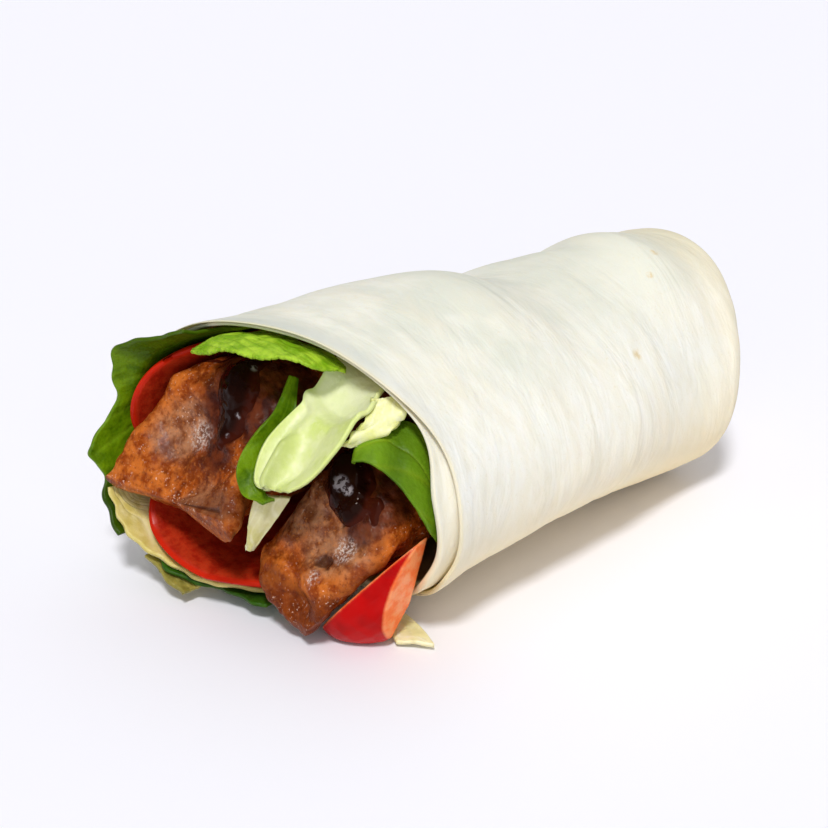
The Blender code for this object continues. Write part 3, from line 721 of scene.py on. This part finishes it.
# x, middle y and z, reach to the left (+Y), up, right and down, and squareness, as in the model
KOFTE_LEFT = (
    (40, 12, 27, 11, 11, 10, 10, 2.1),
    (0, 12, 31, 13, 13, 13, 13, 2.1),
    (-40, 12, 34, 14, 15, 15, 13, 2.1),
    (-58, 12, 37.5, 15, 16, 15, 15, 2.3),
    (-70, 14, 36, 18, 18, 16, 15, 2.5),
    (-79, 17, 31, 18, 14, 17, 10, 2.1),
    (-88.5, 17, 26.2, 21, 4.8, 21.5, 5, 1.7),
)
KOFTE_RIGHT = (
    (40, -13, 23, 10, 10, 11, 10, 2.1),
    (0, -14, 25, 12, 12, 13, 12, 2.1),
    (-40, -15, 27, 11, 13, 14, 12, 2),
    (-58, -16, 27.5, 10, 13, 15, 12, 1.9),
    (-68, -16, 23.5, 13, 13, 15, 11, 1.5),
    (-76.5, -14, 14, 13.5, 7, 11.5, 11.5, 1.15),
    (-80.5, -15.4, 6.2, 4.5, 3.5, 4.5, 4.5, 1.3),
)
# Where fingers pressed or pulled each kofte: x, y, z, reach, then the move along X, Y and Z
PRESSES_LEFT = (
    (-85, 38.5, 26.5, 4.5, -0.6, 0.6, -1.4),
    (-77.5, 20.5, 37.5, 9, 2, 1.6, -1.4),
    (-73, 10, 44, 7, 1.4, 1.2, -1),
    (-84, 12, 31, 5, 1, 0.8, -0.6),
    (-81, 34, 34.5, 6, -1.2, 1.4, 1.4),
    (-73, 29, 46, 6, -1, 1.2, 1.2),
    (-88, 5, 23, 6.5, -0.2, -0.8, -1.6),
)
PRESSES_RIGHT = (
    (-72.6, -18.7, 27.5, 7, 1.8, 1.4, -1.2),
    (-67, -20, 36, 6, 1.2, 1, -0.8),
    (-78.5, -8, 15, 3.2, -1.2, -0.4, 1.2),
    (-77.5, -17.5, 16.5, 3.6, -1.4, -0.8, 1),
    (-73, -25, 20.5, 3.6, -0.8, -0.8, 1),
    (-80, -12, 9, 4, 1.2, -1, 0.4),
)
# What shows on each kofte, as paths of (x, y, z, radius): the lighter orange ridges, the moist greyish
# middle with a painted sheen, the parts that molasses has stained dark, painted shadow on the lower parts,
# and the pits, which get painted shade
MARKS_LEFT = {
    "ridge": (
        ((-88.3, 37.4, 26.5, 6), (-80, 33, 39, 4.4), (-73.2, 29, 49, 3)),
        ((-85, 30, 30, 3), (-84, 24, 30, 2)),
        ((-87, 34.1, 26.2, 3.6), (-85, 25, 26.5, 2.2), (-87, 8, 25.5, 3.4),
         (-88, -0.5, 26.2, 2.6), (-84, -1.4, 31, 1.4), (-79, 1, 37, 1.4)),
    ),
    "moist_sheen": (((-77.5, 26.2, 35.5, 3.4), (-75.5, 22.5, 40, 3)), ((-85, 10, 29, 1.2), (-86, 2, 29, 1))),
    "stain": (
        ((-64, 16, 54, 5), (-66.5, 5, 53, 9), (-72, 2, 47, 6)),
        ((-73.5, 13.5, 45, 4.6), (-77.5, 11, 37, 2.6)),
    ),
    "shadow": (((-85, 6, 22.5, 2), (-85, 20, 22.5, 1.6)), ((-86.5, 3.6, 27.5, 3.4), (-86, 0, 30, 2.6))),
    "pit": (
        ((-79, 24, 32, 0.4), (-80.5, 21.2, 28.9, 1)),
        ((-86.2, 4.7, 26.2, 0.6), (-85.6, 2.2, 28, 0.3)),
        ((-83.5, 15, 29, 0.2), (-84, 12.5, 28.5, 0.4)),
    ),
}
MARKS_RIGHT = {
    "ridge": (
        ((-76.9, -1.2, 14.2, 3), (-78.4, -9.9, 14.2, 2.2), (-78.6, -18.7, 15.2, 2),
         (-76, -23.7, 17.5, 1.6), (-72.5, -27.9, 21.5, 1), (-67.1, -30.9, 25, 1)),
        ((-68, -30, 25, 0.6), (-64, -30, 31, 1)),
    ),
    "moist_sheen": (
        ((-72.2, -17.8, 22.7, 4.4), (-71.5, -22.6, 24, 3.6)),
        ((-71.3, -8, 26.1, 3.4), (-70, -12, 30, 3.4)),
    ),
    "stain": (
        ((-62, -13, 40, 7), (-63.3, -21.6, 36.6, 7), (-64, -27, 33, 4)),
        ((-67, -25, 30, 3), (-69, -24, 28, 2)),
    ),
    "shadow": (
        ((-80, -6, 9, 5), (-80, -15, 6, 5), (-79, -25, 8, 4)),
        ((-74, -31, 13, 4), (-70, -33, 18, 3)),
    ),
    "pit": (
        ((-74.7, -17.8, 20.1, 0.3), (-75, -20, 20.5, 0.5)),
        ((-68.9, -19.6, 29.5, 0.6), (-70, -20, 27.5, 0.6)),
        ((-79, -12, 11, 0.3), (-79.5, -14, 9, 0.6)),
    ),
}
# How far each kind of mark fades out
MARK_FADES = {"ridge": 0.0035, "moist_sheen": 0.005, "stain": 0.004, "shadow": 0.004, "pit": 0.0011}
KOFTE_UNITS = (MM,) * 7 + (1,)
CRAG_SIZE = 0.009
CRAG_DEPTH = 0.0011
KOFTE_RINGS = 210
KOFTE_AROUND = 250
CAP_RINGS = (0.9, 0.75, 0.6, 0.4, 0.2)
CAP_BULGE = 0.0006


def crag(point):
    at = Vector(point) / CRAG_SIZE
    return 0.7 * noise.noise(at) + 0.5 * noise.noise(at * 2.3 + Vector((7, 3, 5)))


def kofte_sections(rows, share, phi):
    row = eased_rows(np.array(rows) * KOFTE_UNITS, share)[:, None, :]
    cosine, sine = np.cos(phi)[None], np.sin(phi)[None]
    across = np.where(cosine > 0, row[..., 3], row[..., 5])
    tall = np.where(sine > 0, row[..., 4], row[..., 6])
    radius = (np.abs(cosine) ** row[..., 7] + np.abs(sine) ** row[..., 7]) ** (-1 / row[..., 7])
    x = row[..., 0] + 0 * cosine
    return np.stack([x, row[..., 1] + across * radius * cosine, row[..., 2] + tall * radius * sine], axis=-1)


def pressed(points, presses):
    """The points moved where fingers pressed, each with a soft fall-off."""
    moved = points.copy()
    for press in np.array(presses) * MM:
        away = np.linalg.norm(points - press[:3], axis=-1)
        moved += bump(away, 0, press[3])[..., None] * press[4:]
    return moved


def path_distance(points, path):
    """Distance from each point to a path of (x, y, z, radius), less the radius there."""
    best = np.full(points.shape[:-1], 9.0)
    path = np.array(path) * MM
    for start, stop in zip(path, path[1:]):
        way = stop[:3] - start[:3]
        share = np.clip(((points - start[:3]) @ way) / (way @ way), 0, 1)
        away = np.linalg.norm(points - start[:3] - share[..., None] * way, axis=-1)
        best = np.minimum(best, away - (start[3] + share * (stop[3] - start[3])))
    return best


def marks(points, paths, fade):
    """1 inside the paths, fading to 0 over fade outside them, with a ragged border."""
    ragged = 0.0009 * lumps(points, 0.0026, 1) + 0.0004 * lumps(points, 0.0009, 6.0)
    total = np.zeros(points.shape[:-1])
    for path in paths:
        total = np.maximum(total, ease(-(path_distance(points, path) + ragged), -fade, 0))
    return total


def kofte(name, rows, hollow, presses, marked, drizzles):
    """A squeezed kofte with crags, grains and pits, and its molasses as pieces of their own."""
    share = np.linspace(0, 1, KOFTE_RINGS) ** 0.42
    phi = np.arange(KOFTE_AROUND) * 2 * math.pi / KOFTE_AROUND
    rings = kofte_sections(rows, share, phi)
    rings[..., 0] += hollow * ease(share, 0.6, 1)[:, None] * np.sin(phi)[None] ** 2
    rings = pressed(rings, presses)
    normal = -grid_normals(rings, wrap=True)
    middle = rings.mean(axis=1, keepdims=True)
    if ((rings - middle) * normal)[:, :, 1:].sum() < 0:
        normal = -normal
    shades = {key: marks(rings, marked[key], fade) for key, fade in MARK_FADES.items()}
    large = CRAG_DEPTH * np.array([crag(point) for point in rings.reshape(-1, 3)]).reshape(rings.shape[:2])
    medium = 0.00065 * lumps(rings, 0.0042) + 0.00026 * lumps(rings, 0.002, 3)
    medium = medium + 0.00006 * lumps(rings, 0.0009, 8.0)
    away, number = grains(rings, 0.002)
    grain = 0.00016 * np.clip(1 - away / 0.6, 0, 1) ** 0.8 * (number > 0.45)
    hole_away, hole_number = grains(rings, 0.0042, 5.0)
    hole = ease(0.3 - hole_away, 0, 0.2) * (hole_number > 0.92)
    front = ease(-rings[..., 0], 0.035, 0.05)
    calm = 1 - 0.65 * shades["moist_sheen"]
    relief = 0.0005 * shades["ridge"] + calm * (medium + grain)
    relief = relief - 0.0008 * hole * calm - 0.0007 * shades["pit"]
    rings = rings + normal * (large + front * relief)[..., None]
    centre = rings[-1].mean(0)
    ahead = np.array([CAP_BULGE, 0, 0])
    cap = [centre + (rings[-1] - centre) * keep - ahead * (1 - keep**2) for keep in CAP_RINGS]
    # The holes take the pits' painted shade.
    shades["pit"] = np.maximum(shades["pit"], 0.8 * hole * calm)
    # How high the relief stands there; the material paints shade on its low places.
    shades["high"] = np.clip(0.5 + (medium + grain) / 0.0012, 0, 1)
    shades = {key: np.concatenate([values] + [values[-1:]] * len(cap)) for key, values in shades.items()}
    ringed_piece(name, np.concatenate([rings, cap]), rings[0].mean(0) + POLE_AHEAD,
                 centre - ahead, LOOKS["kofte"], [name], shades)
    for index, (path, tall) in enumerate(drizzles):
        ragged = 0.0006 * lumps(rings, 0.003, 2)
        inside = -(path_distance(rings, path) + ragged)
        height = tall * MM * np.sqrt(ease(inside, 0, 0.0034)) + 0.0002
        height = np.where(inside > 0, height, 0.0002 + inside * 0.8)
        smoothed = rings - normal * ((medium + grain) * 0.8 * calm)[..., None]
        molasses(f"{name}_molasses_{index}", smoothed, normal, height, inside > -0.0009)


def molasses(name, rings, normal, height, keep):
    """A glossy skin over the kept part of the kofte's surface, dipping into it at its border."""
    grid = rings + normal * height[..., None]
    quads = ring_quads(*height.shape)[2]
    used = quads[keep.ravel()[quads].all(axis=1)]
    chosen, compact = np.unique(used, return_inverse=True)
    thick = ease(height, 0.0004, 0.0013).ravel()[chosen]
    make_piece(name, grid.reshape(-1, 3)[chosen], compact.reshape(-1, 4), LOOKS["molasses"], [],
               {"thick": thick})


# Molasses paths, (x, y, z, radius) along each, with its thickness
DRIZZLE_LEFT = (
    (((-70, 26.2, 53, 0.7), (-68, 20, 54.5, 0.8), (-65, 17, 54.5, 1.2)), 0.8),
    (((-64, 16, 54, 2.6), (-64.5, 12, 55, 3), (-70, 11.8, 52.5, 4.6),
      (-72.4, 11, 48.5, 5.2), (-74, 11.2, 43, 4), (-75.7, 11.2, 38.5, 2)), 1.3),
)
DRIZZLE_RIGHT = (
    (((-64.4, -15, 38.5, 3.6), (-66, -18, 35, 5.4), (-67.2, -20.5, 31.5, 4.6)), 2),
    (((-67.2, -21.5, 32.2, 2.2), (-65.5, -25.5, 32.5, 1.8), (-67, -26.8, 30, 1)), 0.9),
)
kofte("kofte_left", KOFTE_LEFT, 0.006, PRESSES_LEFT, MARKS_LEFT, DRIZZLE_LEFT)
kofte("kofte_right", KOFTE_RIGHT, 0.0025, PRESSES_RIGHT, MARKS_RIGHT, DRIZZLE_RIGHT)

# ---------- tomato

TOMATO_THICKNESS = 0.0032
TOMATO_TURN_RADIUS = 0.035
TOMATO_UPPER = dict(middle_x=-0.0445, middle_phi=math.radians(24), radius=0.034, skew=0.22)
TOMATO_LOWER = dict(middle_x=-0.054, middle_phi=math.radians(-68.5), radius=0.031, skew=-0.28)
UPPER_DEPTH = 0.0034
LOWER_DEPTH = 0.0051
LOWER_DEPTH_AT_OVERLAP = 0.0076
WEDGE_VOXEL = 0.00035
# The flat cuts of the wedge: a point on each, and the way out of the wedge there
WEDGE_CUTS = (
    ((-63.7, -25, 14.2), (-0.15, 0.735, 0.66)), ((-59.5, -35.2, 22.5), (0.07, -0.95, -0.25)),
    ((-61.4, -31.9, 10.2), (0.95, -0.28, -0.12)), ((-60, -25, 11), (0.75, -0.1, -0.4)),
)


def tomato_slice(name, middle_x, middle_phi, radius, skew, depth):
    """A round slice bent along the inside of the roll, with a rounded rim of skin."""
    steps = 110
    side = np.linspace(-1, 1, steps)
    across, along = np.meshgrid(side, side, indexing="ij")
    turned = across * np.sqrt(1 - along**2 / 2)
    forward = along * np.sqrt(1 - across**2 / 2)
    out = np.sqrt(turned**2 + forward**2)
    angle = np.arctan2(forward, turned)
    uneven = 1 + 0.012 * np.sin(3 * angle + 1) + 0.008 * np.sin(5 * angle)
    phi = middle_phi + radius * uneven * turned / TOMATO_TURN_RADIUS
    x = middle_x - radius * uneven * forward + skew * radius * turned
    grid = lining_point(x, phi, depth(phi))
    seeds = bump(out, 0.52, 0.2) * np.clip(np.sin(5 * angle) * 1.6, 0, 1)
    rim = np.sqrt(np.clip(1 - out**10, 0.0004, 1))
    thickness = TOMATO_THICKNESS * (rim - 0.16 * seeds + 0.04 * lumps(grid, 0.004))
    shades = {"skin": ease(out, 0.955, 0.985)}
    sheet_piece(name, grid, thickness, LOOKS["tomato_slice"], shades)


def lower_depth(phi):
    rise = ease(phi, math.radians(-48), math.radians(-30))
    return LOWER_DEPTH + (LOWER_DEPTH_AT_OVERLAP - LOWER_DEPTH) * rise


tomato_slice("tomato_slice_upper", depth=lambda phi: UPPER_DEPTH + 0 * phi, **TOMATO_UPPER)
tomato_slice("tomato_slice_lower", depth=lower_depth, **TOMATO_LOWER)


def tomato_wedge():
    """The model's wedge, rounded at its edges; its skin faces out and its cuts are flat."""
    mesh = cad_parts["tomato_wedge"].data.copy()
    piece = add_object("tomato_wedge_detail", mesh)
    remesh = piece.modifiers.new("remesh", "REMESH")
    remesh.mode = "VOXEL"
    remesh.voxel_size = WEDGE_VOXEL
    smooth = piece.modifiers.new("smooth", "SMOOTH")
    smooth.factor, smooth.iterations = 0.5, 6
    bpy.context.view_layer.update()
    made = bpy.data.meshes.new_from_object(piece.evaluated_get(bpy.context.evaluated_depsgraph_get()))
    piece.modifiers.clear()
    piece.data = made
    made.materials.clear()
    made.materials.append(LOOKS["tomato_wedge"])
    made.shade_smooth()
    points = np.array([tuple(v.co) for v in made.vertices])
    skin = np.ones(len(points))
    for point, away in WEDGE_CUTS:
        beyond = (points - np.array(point) * MM) @ unit(np.array(away))
        skin = np.minimum(skin, ease(-beyond, 0, 0.0005))
    add_shade(made, "skin", skin)
    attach(piece, "root")
    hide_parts("tomato_wedge")


tomato_wedge()

# ---------- leaves and lettuce that line the roll

LEAF_DEPTH = 0.0009
LETTUCE_DEPTH = 0.0023
SCRAP_DEPTH = -0.0008
LEAF_THICKNESS = 0.0008
LETTUCE_THICKNESS = 0.001
FLARE = 0.28
CORNER_FLARE = 0.6
VEIN_SLOPE = 0.275
VEIN_WIDTH = 0.1
LINING_VEINS = 7
LINING_RELIEF = 0.0002


def veins(side, along, pairs):
    """1 on the middle rib and the side veins of a leaf, 0 between them. Side runs -1 to 1, along 0 to 1."""
    rib = bump(side, 0, 0.05)
    phase = (along - VEIN_SLOPE * np.abs(side)) * pairs
    gap = np.abs(phase - np.round(phase))
    return np.maximum(rib, bump(gap, 0, VEIN_WIDTH) * (1 - 0.5 * np.abs(side)))


def ribs(side, along, count):
    """1 on ribs that fan out from the tip of a lettuce leaf, 0 between them."""
    phase = side * count / 2 + 0.5 * np.sin(4 * along + 2 * side) + 0.2 * np.sin(11 * along)
    gap = np.abs(phase - np.round(phase))
    return bump(gap, 0, VEIN_WIDTH) * (0.4 + 0.6 * np.sin(3 * along + 5 * side) ** 2)


def leaf_piece(name, grid, look, slot_name, vein, edge, dark):
    thickness = LETTUCE_THICKNESS if slot_name == "lettuce" else LEAF_THICKNESS
    shades = {"vein": vein, "edge": edge, "fold": dark}
    sheet_piece(name, grid, thickness, LOOKS[look], shades)


def lining(name, look, slot_name, turn, back_x, front_x, depth, steps, shaded=None):
    """A leaf against the bread between two angles in degrees, from back_x to front_x along the roll."""
    u, v = unit_grid(steps)
    start, stop = (math.radians(angle) for angle in turn)
    phi = start + (stop - start) * u
    back = back_x(phi) if callable(back_x) else back_x
    x = back + (front_x(phi) - back) * v
    grid = lining_point(x, phi, depth(x, phi) if callable(depth) else depth)
    pattern = ribs if slot_name == "lettuce" else veins
    vein = pattern(2 * v - 1, u, LINING_VEINS)
    grid = grid + grid_normals(grid) * (LINING_RELIEF * (lumps(grid, 0.004) - vein))[..., None]
    edge = ease(v, 0.9, 1)
    dark = 0 * edge if shaded is None else shaded(phi, v)
    leaf_piece(name, grid, look, slot_name, vein, edge, dark)


def leaf_left():
    def front(phi):
        point = 0.0022 * bump(phi, math.radians(-9), 0.06)
        back = 0.003 * between(phi, -30, -18) + 0.0052 * between(phi, -5, 12)
        top = 0.003 * between(phi, 30, 62)
        return -0.0897 + back + top - point + 0.0007 * np.sin(9 * phi) + 0.0003 * np.sin(31 * phi)

    def depth(x, phi):
        past = np.maximum(0, lip_x(phi) - 0.0026 - x)
        flare = FLARE * between(phi, -10, 40) + 0.06 * between(-phi, 15, 30)
        flare = flare + CORNER_FLARE * bump(phi, math.radians(33), 0.26)
        return LEAF_DEPTH - past * flare

    def shaded(phi, v):
        folded = between(phi, 28, 36) * ease(v, 0.7, 0.76)
        return np.maximum(0.75 * folded, between(-phi, 14, 26))

    lining("leaf_left", "green_leaf", "green_leaf", (62, -42), -0.03, front, depth, (150, 90), shaded)


def leaf_under():
    def front(phi):
        waves = 0.001 * np.sin(13 * phi) + 0.0004 * np.sin(37 * phi)
        return -0.0855 + 0.008 * between(-phi, 55, 95) + waves

    lining("leaf_under", "dark_leaf", "dark_leaf", (-46, -94), -0.05, front, LEAF_DEPTH, (90, 60))


def lettuce_sheet():
    def front(phi):
        waves = 0.0006 * np.sin(11 * phi) + 0.0003 * np.sin(43 * phi)
        return -0.0885 + 0.014 * between(-phi, 45, 100) + waves

    def back(phi):
        return -0.04 - 0.04 * between(phi, -48, -30)

    lining("lettuce_sheet", "lettuce_sheet", "lettuce", (-24, -100), back, front, LETTUCE_DEPTH, (140, 70))


def lettuce_scrap():
    def front(phi):
        return -0.0865 + 0.0004 * np.sin(30 * phi)

    lining("lettuce_scrap", "lettuce_scrap", "lettuce", (-52, -70), -0.07, front, SCRAP_DEPTH, (50, 40))


leaf_left()
leaf_under()
lettuce_sheet()
lettuce_scrap()

# ---------- free leaves and lettuce

# Rows along each leaf: middle x, y, z, then the vector from the middle to one edge, then how far the
# edges stand off the middle. They are the model's rows, but the frill's are a little wider.
MINT = (
    (-79.5, 16.5, 60, 0.6, 0.6, 0, 0),
    (-75.2, 12, 62.7, 5, 4, -0.8, 1),
    (-70.8, 3, 64, 7, 6, -1.2, 1),
    (-65.5, -6, 62.4, 6, 5.6, -1.4, 1),
    (-62.2, -13, 59.2, 1, 1, 0, 0),
)
LEAF_CENTRE = (
    (-65.5, -0.3, 54.8, 0.8, -0.4, -0.4, 0),
    (-70.5, -2.8, 49, 1.8, -0.8, -1.2, 0),
    (-76.2, -3.2, 43.8, 2.6, -1.4, -1.8, 0),
    (-81.5, -4, 39, 2.3, -2, -1.3, 0),
    (-83.2, -6.6, 35, 1.7, -2, -0.2, 0),
    (-82.5, -10.5, 34.2, 0.8, -0.8, 0.6, 0),
)
LEAF_RIGHT = (
    (-59.2, -39, 27.5, 1.8, 0.2, 0, 0),
    (-59.4, -39.2, 32, 5, 0.6, 0, 0),
    (-60, -37.5, 38.5, 7, 1, 0.4, 0),
    (-62, -33.5, 45.2, 6.8, 1, 1.6, 0),
    (-64.8, -28.4, 48.4, 6.6, 1.4, 2.4, 0),
    (-66.8, -25, 47.6, 5.6, 1.4, 2, 0),
    (-67.6, -23.2, 45.2, 3.4, 1, 1, 0),
)
LETTUCE_CURL = (
    (-35, -8, 52, 0, -8, -1, -2),
    (-58, -14, 57.5, 0, -8, -1, -1),
    (-66, -15.5, 53, 0, -9.5, 1, -2),
    (-74.6, -14.8, 45.6, 2, -9.5, 1, -3),
    (-81.2, -13.6, 39.8, 1.8, -7.2, 1, -1),
    (-82.8, -13, 37.9, 0.8, -3.6, 0.4, 0),
)
LETTUCE_FRILL = (
    (-60.6, -25.2, 56.2, 3.6, -2, 0, 0),
    (-64, -27, 53, 3.6, -2.4, 0.4, 0),
    (-67.6, -26.2, 50.4, 3.2, -2.4, 0.2, 0),
    (-70.6, -23.4, 47.4, 1.6, -1.2, 0, 0),
)
LETTUCE_TAB = (
    (-79.5, -8.5, 34, 2.6, -2.6, -0.5, 0),
    (-80.6, -6, 28, 2, -2, -0.3, 0),
    (-82, -3, 20, 0.5, -0.5, 0, 0),
)
LETTUCE_STRIP = (
    (-58, -22.5, 1.7, 2.4, -2, 0, 0),
    (-60, -29, 1.4, 2.5, -2.7, 0, 0),
    (-62.5, -34.5, 1.2, 2.4, -3.4, 0, 0),
)


def free_leaf(name, look, slot_name, rows, wave=0, waves=3, teeth=0, teeth_count=12,
              relief=0.0002, pairs=8, steps=(44, 110), form=None, veined=1):
    """A sheet along rows, with waving or toothed edges and relief between its veins.

    Where form is given, it takes side (-1 to 1) and along (0 to 1) and returns how far the sheet is raised
    there, how much painted shade it gets, as in a fold, and how much paler it is painted, as on a rib or as
    painted light.
    """
    u, v = unit_grid(steps)
    rows = np.array(rows) * MM
    row = eased_rows(rows, v)
    before, after = (eased_rows(rows, np.clip(v + step, 0, 1))[..., :3] for step in (-0.02, 0.02))
    normal = unit(np.cross(row[..., 3:6], after - before))
    side = 2 * u - 1
    jag = 1 + teeth * (2 * (v * teeth_count % 1) - 1) * side**2
    lift = row[..., 6] * side**2 + wave * side**2 * np.sin(2 * math.pi * waves * v + 1.3 * side)
    lettuce = slot_name == "lettuce"
    vein = veined * (ribs(side, v, pairs) if lettuce else veins(side, v, pairs))
    grid = row[..., :3] + row[..., 3:6] * (side * jag)[..., None]
    lift = lift + relief * (lumps(grid, 0.003) - (0.6 if lettuce else 1.5) * vein)
    dark = 0 * side
    if form is not None:
        raised, dark, bright = form(side, v)
        lift = lift + raised
        vein = np.maximum(vein, bright)
    grid = grid + normal * lift[..., None]
    edge = ease(np.abs(side), 0.85, 1)
    leaf_piece(name, grid, look, slot_name, vein, edge, dark)


def curl_form(side, along):
    """A bright crown above a crease; below it a thick rim, a valley, a band with a knob and a green part.
    Painted light brightens the crown, band and knob and the rim is whitish; painted shade darkens the crease
    and valley, and the green part and the tip are darker.
    """
    crease_at = 0.45 + 0.02 * side - 0.045 * side**2
    below = ease(along, crease_at, crease_at + 0.06)
    crown = bump(side, 0, 1.1) * (1 - below) * ease(along, 0.1, 0.35)
    crease = bump(along - crease_at, 0.012, 0.022)
    rim = bump(side, -0.82, 0.26) * below
    valley = bump(side, -0.5, 0.17) * ease(along, 0.54, 0.62)
    band = bump(side, -0.2, 0.28) * ease(along, 0.5, 0.6)
    knob = bump(side, 0.13, 0.36) * bump(along, 0.73, 0.09)
    green = ease(side, 0.15, 0.55) * below * (1 - knob)
    lift = 0.0026 * crown - 0.0012 * crease + 0.0022 * rim - 0.0024 * valley
    lift = lift + 0.0013 * band + 0.0016 * knob
    tip = ease(along, 0.66, 0.8)
    dark = np.clip(0.35 * crease + valley + 0.4 * green + 0.22 * tip, 0, 1)
    bright = np.clip(0.9 * (1 - below) + 0.5 * rim + 0.3 * knob + 0.3 * band, 0, 1)
    return lift - 0.0008 * green, dark, bright


def lobe_form(side, along):
    """A bright raised lobe at the far end, a soft fold below it with painted shade, and a darker, duller
    blade.
    """
    fold = bump(along - 0.1 * side, 0.6, 0.07)
    lift = 0.0014 * bump(along, 0.84, 0.16) * (1 - side**2) - 0.0006 * fold
    return lift, 0.35 * fold + 0.22 * ease(-(along - 0.1 * side), -0.66, -0.56), 0 * side


def plain_form(side, along):
    """A slight trough along a flat strip, with painted shade along it."""
    return -0.0004 * bump(side, 0, 0.5), 0.3 * bump(side, 0.1 * np.sin(5 * along), 0.12), 0 * side


free_leaf("mint_leaf", "mint", "mint", MINT, wave=0.0005, teeth=0.025, teeth_count=30, relief=0.00028,
          pairs=9, steps=(60, 180))
free_leaf("leaf_centre", "green_leaf", "green_leaf", LEAF_CENTRE, wave=0.0004, pairs=3, relief=0.0001,
          veined=0.25)
free_leaf("leaf_right", "bright_leaf", "green_leaf", LEAF_RIGHT, wave=0.0003, waves=2, pairs=3,
          relief=0.00015, steps=(80, 200), form=lobe_form)
free_leaf("lettuce_curl", "lettuce", "lettuce", LETTUCE_CURL, wave=0.0003, waves=1.5, pairs=5, relief=0.00012,
          steps=(100, 170), form=curl_form, veined=0.15)
free_leaf("lettuce_frill", "frill", "lettuce", LETTUCE_FRILL, wave=0.0008, waves=2.5, pairs=3, relief=0.0001)
free_leaf("lettuce_tab", "dull_lettuce", "lettuce", LETTUCE_TAB, pairs=3, relief=0.0001, form=plain_form)
free_leaf("lettuce_strip", "lettuce_strip", "lettuce", LETTUCE_STRIP, pairs=2, relief=0.0001, form=plain_form)

# ---------- floor, light and camera

CAMERA_TURN = math.radians(-45)
CAMERA_RISE = math.radians(24)
CAMERA_DISTANCE = 0.5
CAMERA_TARGET = Vector((-0.0284, 0, 0.0343))
FOCAL_LENGTH = 93.9
WORLD_STRENGTH = 0.3
FLOOR_REACH = 6.0
FLOOR_GAP = 0.0002


def add_floor():
    mesh = bpy.data.meshes.new("floor")
    corners = [(FLOOR_REACH * x, FLOOR_REACH * y, 0) for x, y in ((-1, -1), (1, -1), (1, 1), (-1, 1))]
    mesh.from_pydata(corners, [], [(0, 1, 2, 3)])
    floor = add_object("floor", mesh)
    floor.location.z = -FLOOR_GAP
    look = Look("floor", Roughness=0.7)
    look.shader.inputs["Base Color"].default_value = (*srgb("f6f5fc"), 1)
    mesh.materials.append(look.material)


def add_sun(name, direction, spread, power):
    """Light that comes from a direction, with a soft edge spread over that many degrees."""
    light = bpy.data.lights.new(name, "SUN")
    light.angle = math.radians(spread)
    light.energy = power
    lamp = add_object(name, light)
    lamp.location = Vector(direction)
    lamp.rotation_mode = "QUATERNION"
    lamp.rotation_quaternion = (-Vector(direction)).to_track_quat("-Z", "Y")


def add_world():
    scene = bpy.context.scene
    scene.world = scene.world or bpy.data.worlds.new("studio")
    scene.world.use_nodes = True
    back = scene.world.node_tree.nodes["Background"]
    back.inputs["Color"].default_value = (0.97, 0.98, 1, 1)
    back.inputs["Strength"].default_value = WORLD_STRENGTH
    scene.view_settings.view_transform = "Standard"


def add_camera():
    back = Vector((
        math.sin(CAMERA_TURN) * math.cos(CAMERA_RISE),
        -math.cos(CAMERA_TURN) * math.cos(CAMERA_RISE),
        math.sin(CAMERA_RISE),
    ))
    data = bpy.data.cameras.new("camera")
    data.sensor_width = 36
    data.lens = FOCAL_LENGTH
    camera = add_object("camera", data)
    camera.location = CAMERA_TARGET + back * CAMERA_DISTANCE
    camera.rotation_mode = "QUATERNION"
    camera.rotation_quaternion = (-back).to_track_quat("-Z", "Y")
    bpy.context.scene.camera = camera


add_floor()
add_world()
add_sun("key", (-0.42, -0.36, 0.83), 10, 2.12)
add_sun("front", (-0.6, -0.68, 0.42), 50, 0.6)
add_sun("overhead", (0.25, 0.3, 0.92), 60, 0.45)
add_camera()
